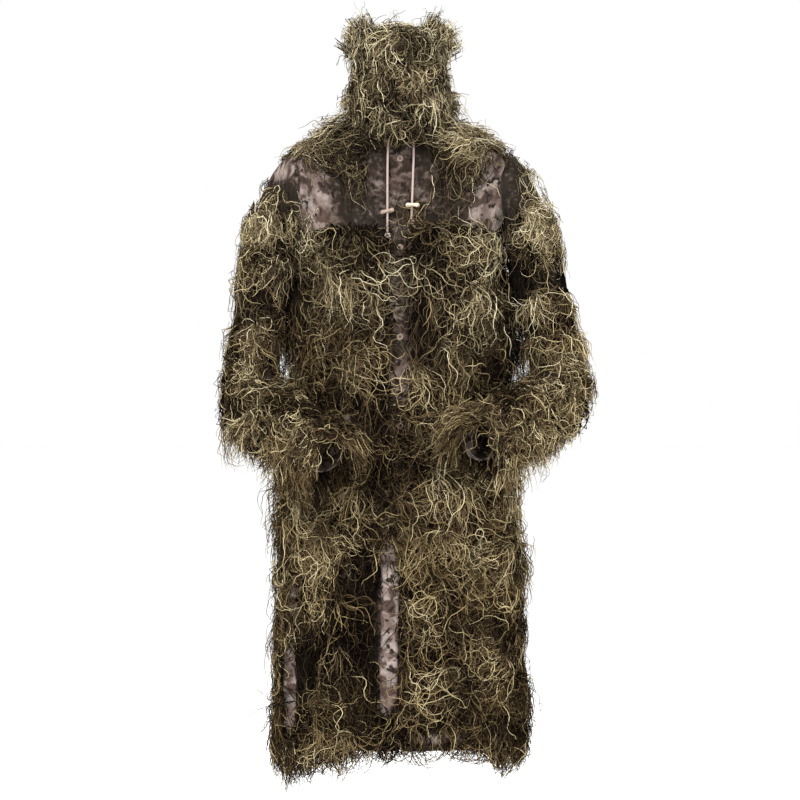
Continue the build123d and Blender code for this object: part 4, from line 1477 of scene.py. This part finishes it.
def hood_threads():
    """Tufts all over the hood and the veil."""
    rng = np.random.default_rng(600)

    def knots_over(gap):
        turn, rise = [], []
        for level in np.arange(0.05, 1.0, gap * 4.2):
            size = np.cos(np.clip((level - 0.5) * 2, 0, 1) * 1.45) ** 0.7
            around = max(int(0.60 * size / gap), 3)
            turn.append(np.linspace(0, 2 * np.pi, around, endpoint=False) + rng.uniform(0, 1))
            rise.append(np.full(around, level) + rng.normal(size=around) * gap)
        points, normals = on_hood(np.concatenate(turn), np.clip(np.concatenate(rise), 0.02, 0.97))
        face = (np.abs(points[:, 0]) < 0.066) & (points[:, 1] < 0) & (points[:, 2] < 0.222)
        return points[~face], normals[~face]

    tops = heaps(rng, knots_over(0.046)[0], 2, 0.012, hold_to_hood)
    pieces = [
        threads("jute_under_hood", 601, knots_over(0.022), 7, (0.05, 0.09), hold=hold_to_hood,
                keep=clear_of_loop, **UNDERCOAT_IN_PAINTED_SHADE),
        threads("jute_middle_hood", 602, knots_over(0.028), 8, (0.07, 0.12), hold=hold_to_hood,
                keep=clear_of_loop, **MIDCOAT),
        threads("jute_hood", 603, tops, 30, (0.07, 0.13), tone=0.58, own_vary=0.27, lift=0.4,
                spread=0.9, curl=85, layer=(0.001, 0.008), loose=0.006, hold=hold_to_hood,
                keep=clear_of_loop),
    ]
    attach_all(pieces, "hood", nodes=["jute_hood"])

    def knots_on_veil(columns, rows, low, top=0.225):
        x = np.tile(np.linspace(-0.07, 0.07, columns), rows)
        z = np.repeat(np.linspace(top, low, rows), columns)
        x = np.clip(x + rng.normal(size=len(x)) * 0.008, -0.078, 0.078)
        z = np.minimum(z + rng.normal(size=len(z)) * 0.010, top)
        return hold_to_veil(np.column_stack([x, np.full(len(x), -0.132), z]), 0.0005, 0.0005)

    tops = heaps(rng, knots_on_veil(4, 5, 0.07)[0], 2, 0.014, hold_to_veil)
    pieces = [
        threads("jute_under_veil", 621, knots_on_veil(9, 9, 0.05), 7, (0.05, 0.09), hold=hold_to_veil,
                keep=above_cords, **UNDERCOAT_IN_PAINTED_SHADE),
        threads("jute_middle_veil", 622, knots_on_veil(7, 8, 0.05), 9, (0.06, 0.12), hold=hold_to_veil,
                keep=above_cords, **MIDCOAT),
        threads("jute_veil", 623, tops, 36, (0.06, 0.12), tone=0.49, own_vary=0.26, spread=0.9, curl=85,
                layer=(0.001, 0.014), hold=hold_to_veil, keep=above_cords),
    ]
    attach_all(pieces, "veil", nodes=["jute_veil"])


# ---------------------------------------------------------------- drawcord ends
CORD_ROUTES = {
    "right": [
        (-0.024, -0.113, 0.012), (-0.0245, -0.1155, -0.014),
        (-0.025, -0.131, -0.044), (-0.025, -0.131, -0.166),
    ],
    "left": [
        (0.027, -0.113, 0.012), (0.0275, -0.1155, -0.014),
        (0.0262, -0.131, -0.044), (0.0228, -0.131, -0.140),
    ],
}
CORD_DIAMETER = 0.0044


def drawcords():
    """Two cord ends at the throat, each with a sliding toggle and a knot."""
    for side, route in CORD_ROUTES.items():
        knot = cord_knot(side, route[-1])
        toggle = cord_toggle(side)
        curve = bpy.data.curves.new(f"drawcord_{side}", "CURVE")
        curve.dimensions = "3D"
        curve.bevel_depth = CORD_DIAMETER / 2
        curve.bevel_resolution = 3
        line = curve.splines.new("NURBS")
        line.points.add(len(route) - 1)
        for point, place in zip(line.points, route):
            point.co = (*place, 1)
        line.order_u = 3
        line.use_endpoint_u = True
        line.resolution_u = 24
        cord = bpy.data.objects.new(f"cord_{side}", curve)
        bpy.context.scene.collection.objects.link(cord)
        curve.materials.append(braid)
        attach(cord, "coat", nodes=[f"drawcord_{side}"])


def cord_knot(side, end):
    """An overhand knot with a short tail."""
    t = np.linspace(0, 2 * np.pi, 60)
    radius = 0.0032 + 0.0008 * np.cos(3 * t)
    path = np.stack(
        [
            end[0] + radius * np.cos(2 * t) * 1.15,
            end[1] + 0.0022 * np.sin(3 * t),
            end[2] - 0.0050 + radius * np.sin(2 * t) * 0.9 - 0.0010 * t / np.pi,
        ],
        -1,
    )
    tail = np.linspace(0, 1, 8)[1:, None] * [0.0012, -0.0006, -0.0085]
    path = np.concatenate([path, path[-1] + tail])
    knot = tube(f"cord_knot_{side}", path, 0.0019, braid, 8)
    attach(knot, "coat", nodes=["cord_knots"] if side == "right" else [])
    return knot


def cord_toggle(side):
    """A turned wooden bar with a waist where the cord goes through."""
    low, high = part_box(f"toggle_{side}")
    centre = np.array((low + high) / 2)
    half = (high.x - low.x) / 2
    tilt = 0.22 if side == "right" else 0.0
    t = np.linspace(-1, 1, 33)
    x = t * half
    path = centre + x[:, None] * [np.cos(tilt), 0, np.sin(tilt)]
    radius = 0.0044 * (1 - np.abs(t) ** 9) ** 0.5 * (1 - 0.22 * np.exp(-((t / 0.22) ** 2)))
    radius = np.maximum(radius * (1 + 0.05 * np.cos(9 * t)), 0.0006)
    wood = dark_wood if side == "right" else pale_wood
    toggle = tube(f"cord_toggle_{side}", path, radius, wood, 20)
    attach(toggle, f"toggle_{side}", nodes=[f"toggle_{side}"])
    return toggle


def buttons():
    """Four plain sewn buttons down the placket."""
    low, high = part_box("buttons")
    size = (high.x - low.x) / 2
    profile = size * np.array(
        [(0.0, 0.10), (0.45, 0.10), (0.55, 0.26), (0.88, 0.30), (1.0, 0.12), (1.0, -0.2)]
    )
    angle = np.arange(32) * 2 * np.pi / 32
    verts, faces = [], []
    for number, z in enumerate(np.linspace(high.z - size, low.z + size, 4)):
        front = -section(COAT, z)[1] - PLACKET_LIFT - 0.0013
        for radius, rise in profile:
            ring = [radius * np.cos(angle), np.full(32, front - rise), z + radius * np.sin(angle)]
            verts.append(np.stack(ring, -1))
        faces.append(grid_faces(len(profile), 32, True) + number * len(profile) * 32)
        for x in (-0.2, 0.2):
            path = [(x * size, front - 0.14 * size - bow, z + step * size)
                    for step, bow in ((-0.3, 0), (-0.15, 0.0004), (0.15, 0.0004), (0.3, 0))]
            name = f"button_stitch_{number + 1}_{'a' if x < 0 else 'b'}"
            attach(tube(name, path, 0.0007, webbing, 6), "coat")
    discs = build_mesh("sewn_buttons", np.concatenate(verts), [np.concatenate(faces)])
    discs.data.materials.append(button_plastic)
    attach(discs, "coat", nodes=["buttons"])


def small_parts():
    """CAD nodes that keep their shape and are webbing."""
    for node in ("hang_loop", "cord_outlets", "cuff_tab_left", "cuff_tab_right"):
        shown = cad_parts[node]
        shown.data.materials.clear()
        shown.data.materials.append(webbing)


# ---------------------------------------------------------------- stage
def stage():
    """A white studio with soft light from above and in front, and a long lens."""
    scene = bpy.context.scene
    scene.view_settings.view_transform = "Standard"
    floor_mesh = build_mesh(
        "studio_floor",
        np.array([(-60, -60, 0), (60, -60, 0), (60, 60, 0), (-60, 60, 0)]) + [0, 0, FLOOR_Z],
        [np.array([[0, 1, 2, 3]])],
    )
    mat, _, shader = node_material("studio_white", 0.9)
    shader.inputs["Base Color"].default_value = (0.97, 0.97, 0.97, 1)
    shader.inputs["Emission Color"].default_value = (1, 1, 1, 1)
    shader.inputs["Emission Strength"].default_value = 0.06
    floor_mesh.data.materials.append(mat)
    world = bpy.data.worlds.new("studio")
    world.use_nodes = True
    world.node_tree.nodes["Background"].inputs["Color"].default_value = (1, 1, 1, 1)
    world.node_tree.nodes["Background"].inputs["Strength"].default_value = 1.0
    scene.world = world
    for name, place, size, power in (
        ("key", (-1.4, -2.9, 2.6), 1.2, 240),
        ("fill", (2.3, -3.4, 1.0), 1.6, 80),
        ("back", (0.6, 3.4, 2.6), 1.5, 130),
    ):
        light = bpy.data.lights.new(name, "AREA")
        light.size = size
        light.energy = power
        lamp = bpy.data.objects.new(name, light)
        lamp.location = place
        aim = Vector((0, 0, -0.5)) - Vector(place)
        lamp.rotation_euler = aim.to_track_quat("-Z", "Y").to_euler()
        scene.collection.objects.link(lamp)
    lens = bpy.data.cameras.new("camera")
    distance, seen = 6.4, 1.6
    lens.lens = lens.sensor_width * distance / seen
    camera = bpy.data.objects.new("camera", lens)
    camera.location = (0, -distance - 0.10, -0.5)
    camera.rotation_euler = (np.pi / 2, 0, 0)
    scene.collection.objects.link(camera)
    scene.camera = camera


stage()
drawcords()
coat_cloth()
yoke_cloth()
closure()
seams()
hem()
sleeves()
hood_cloth()
nape()
veil_net()
coat_threads()
yoke_threads()
hem_fringe()
sleeve_threads()
shoulder_threads()
hood_threads()
locks()
buttons()
small_parts()
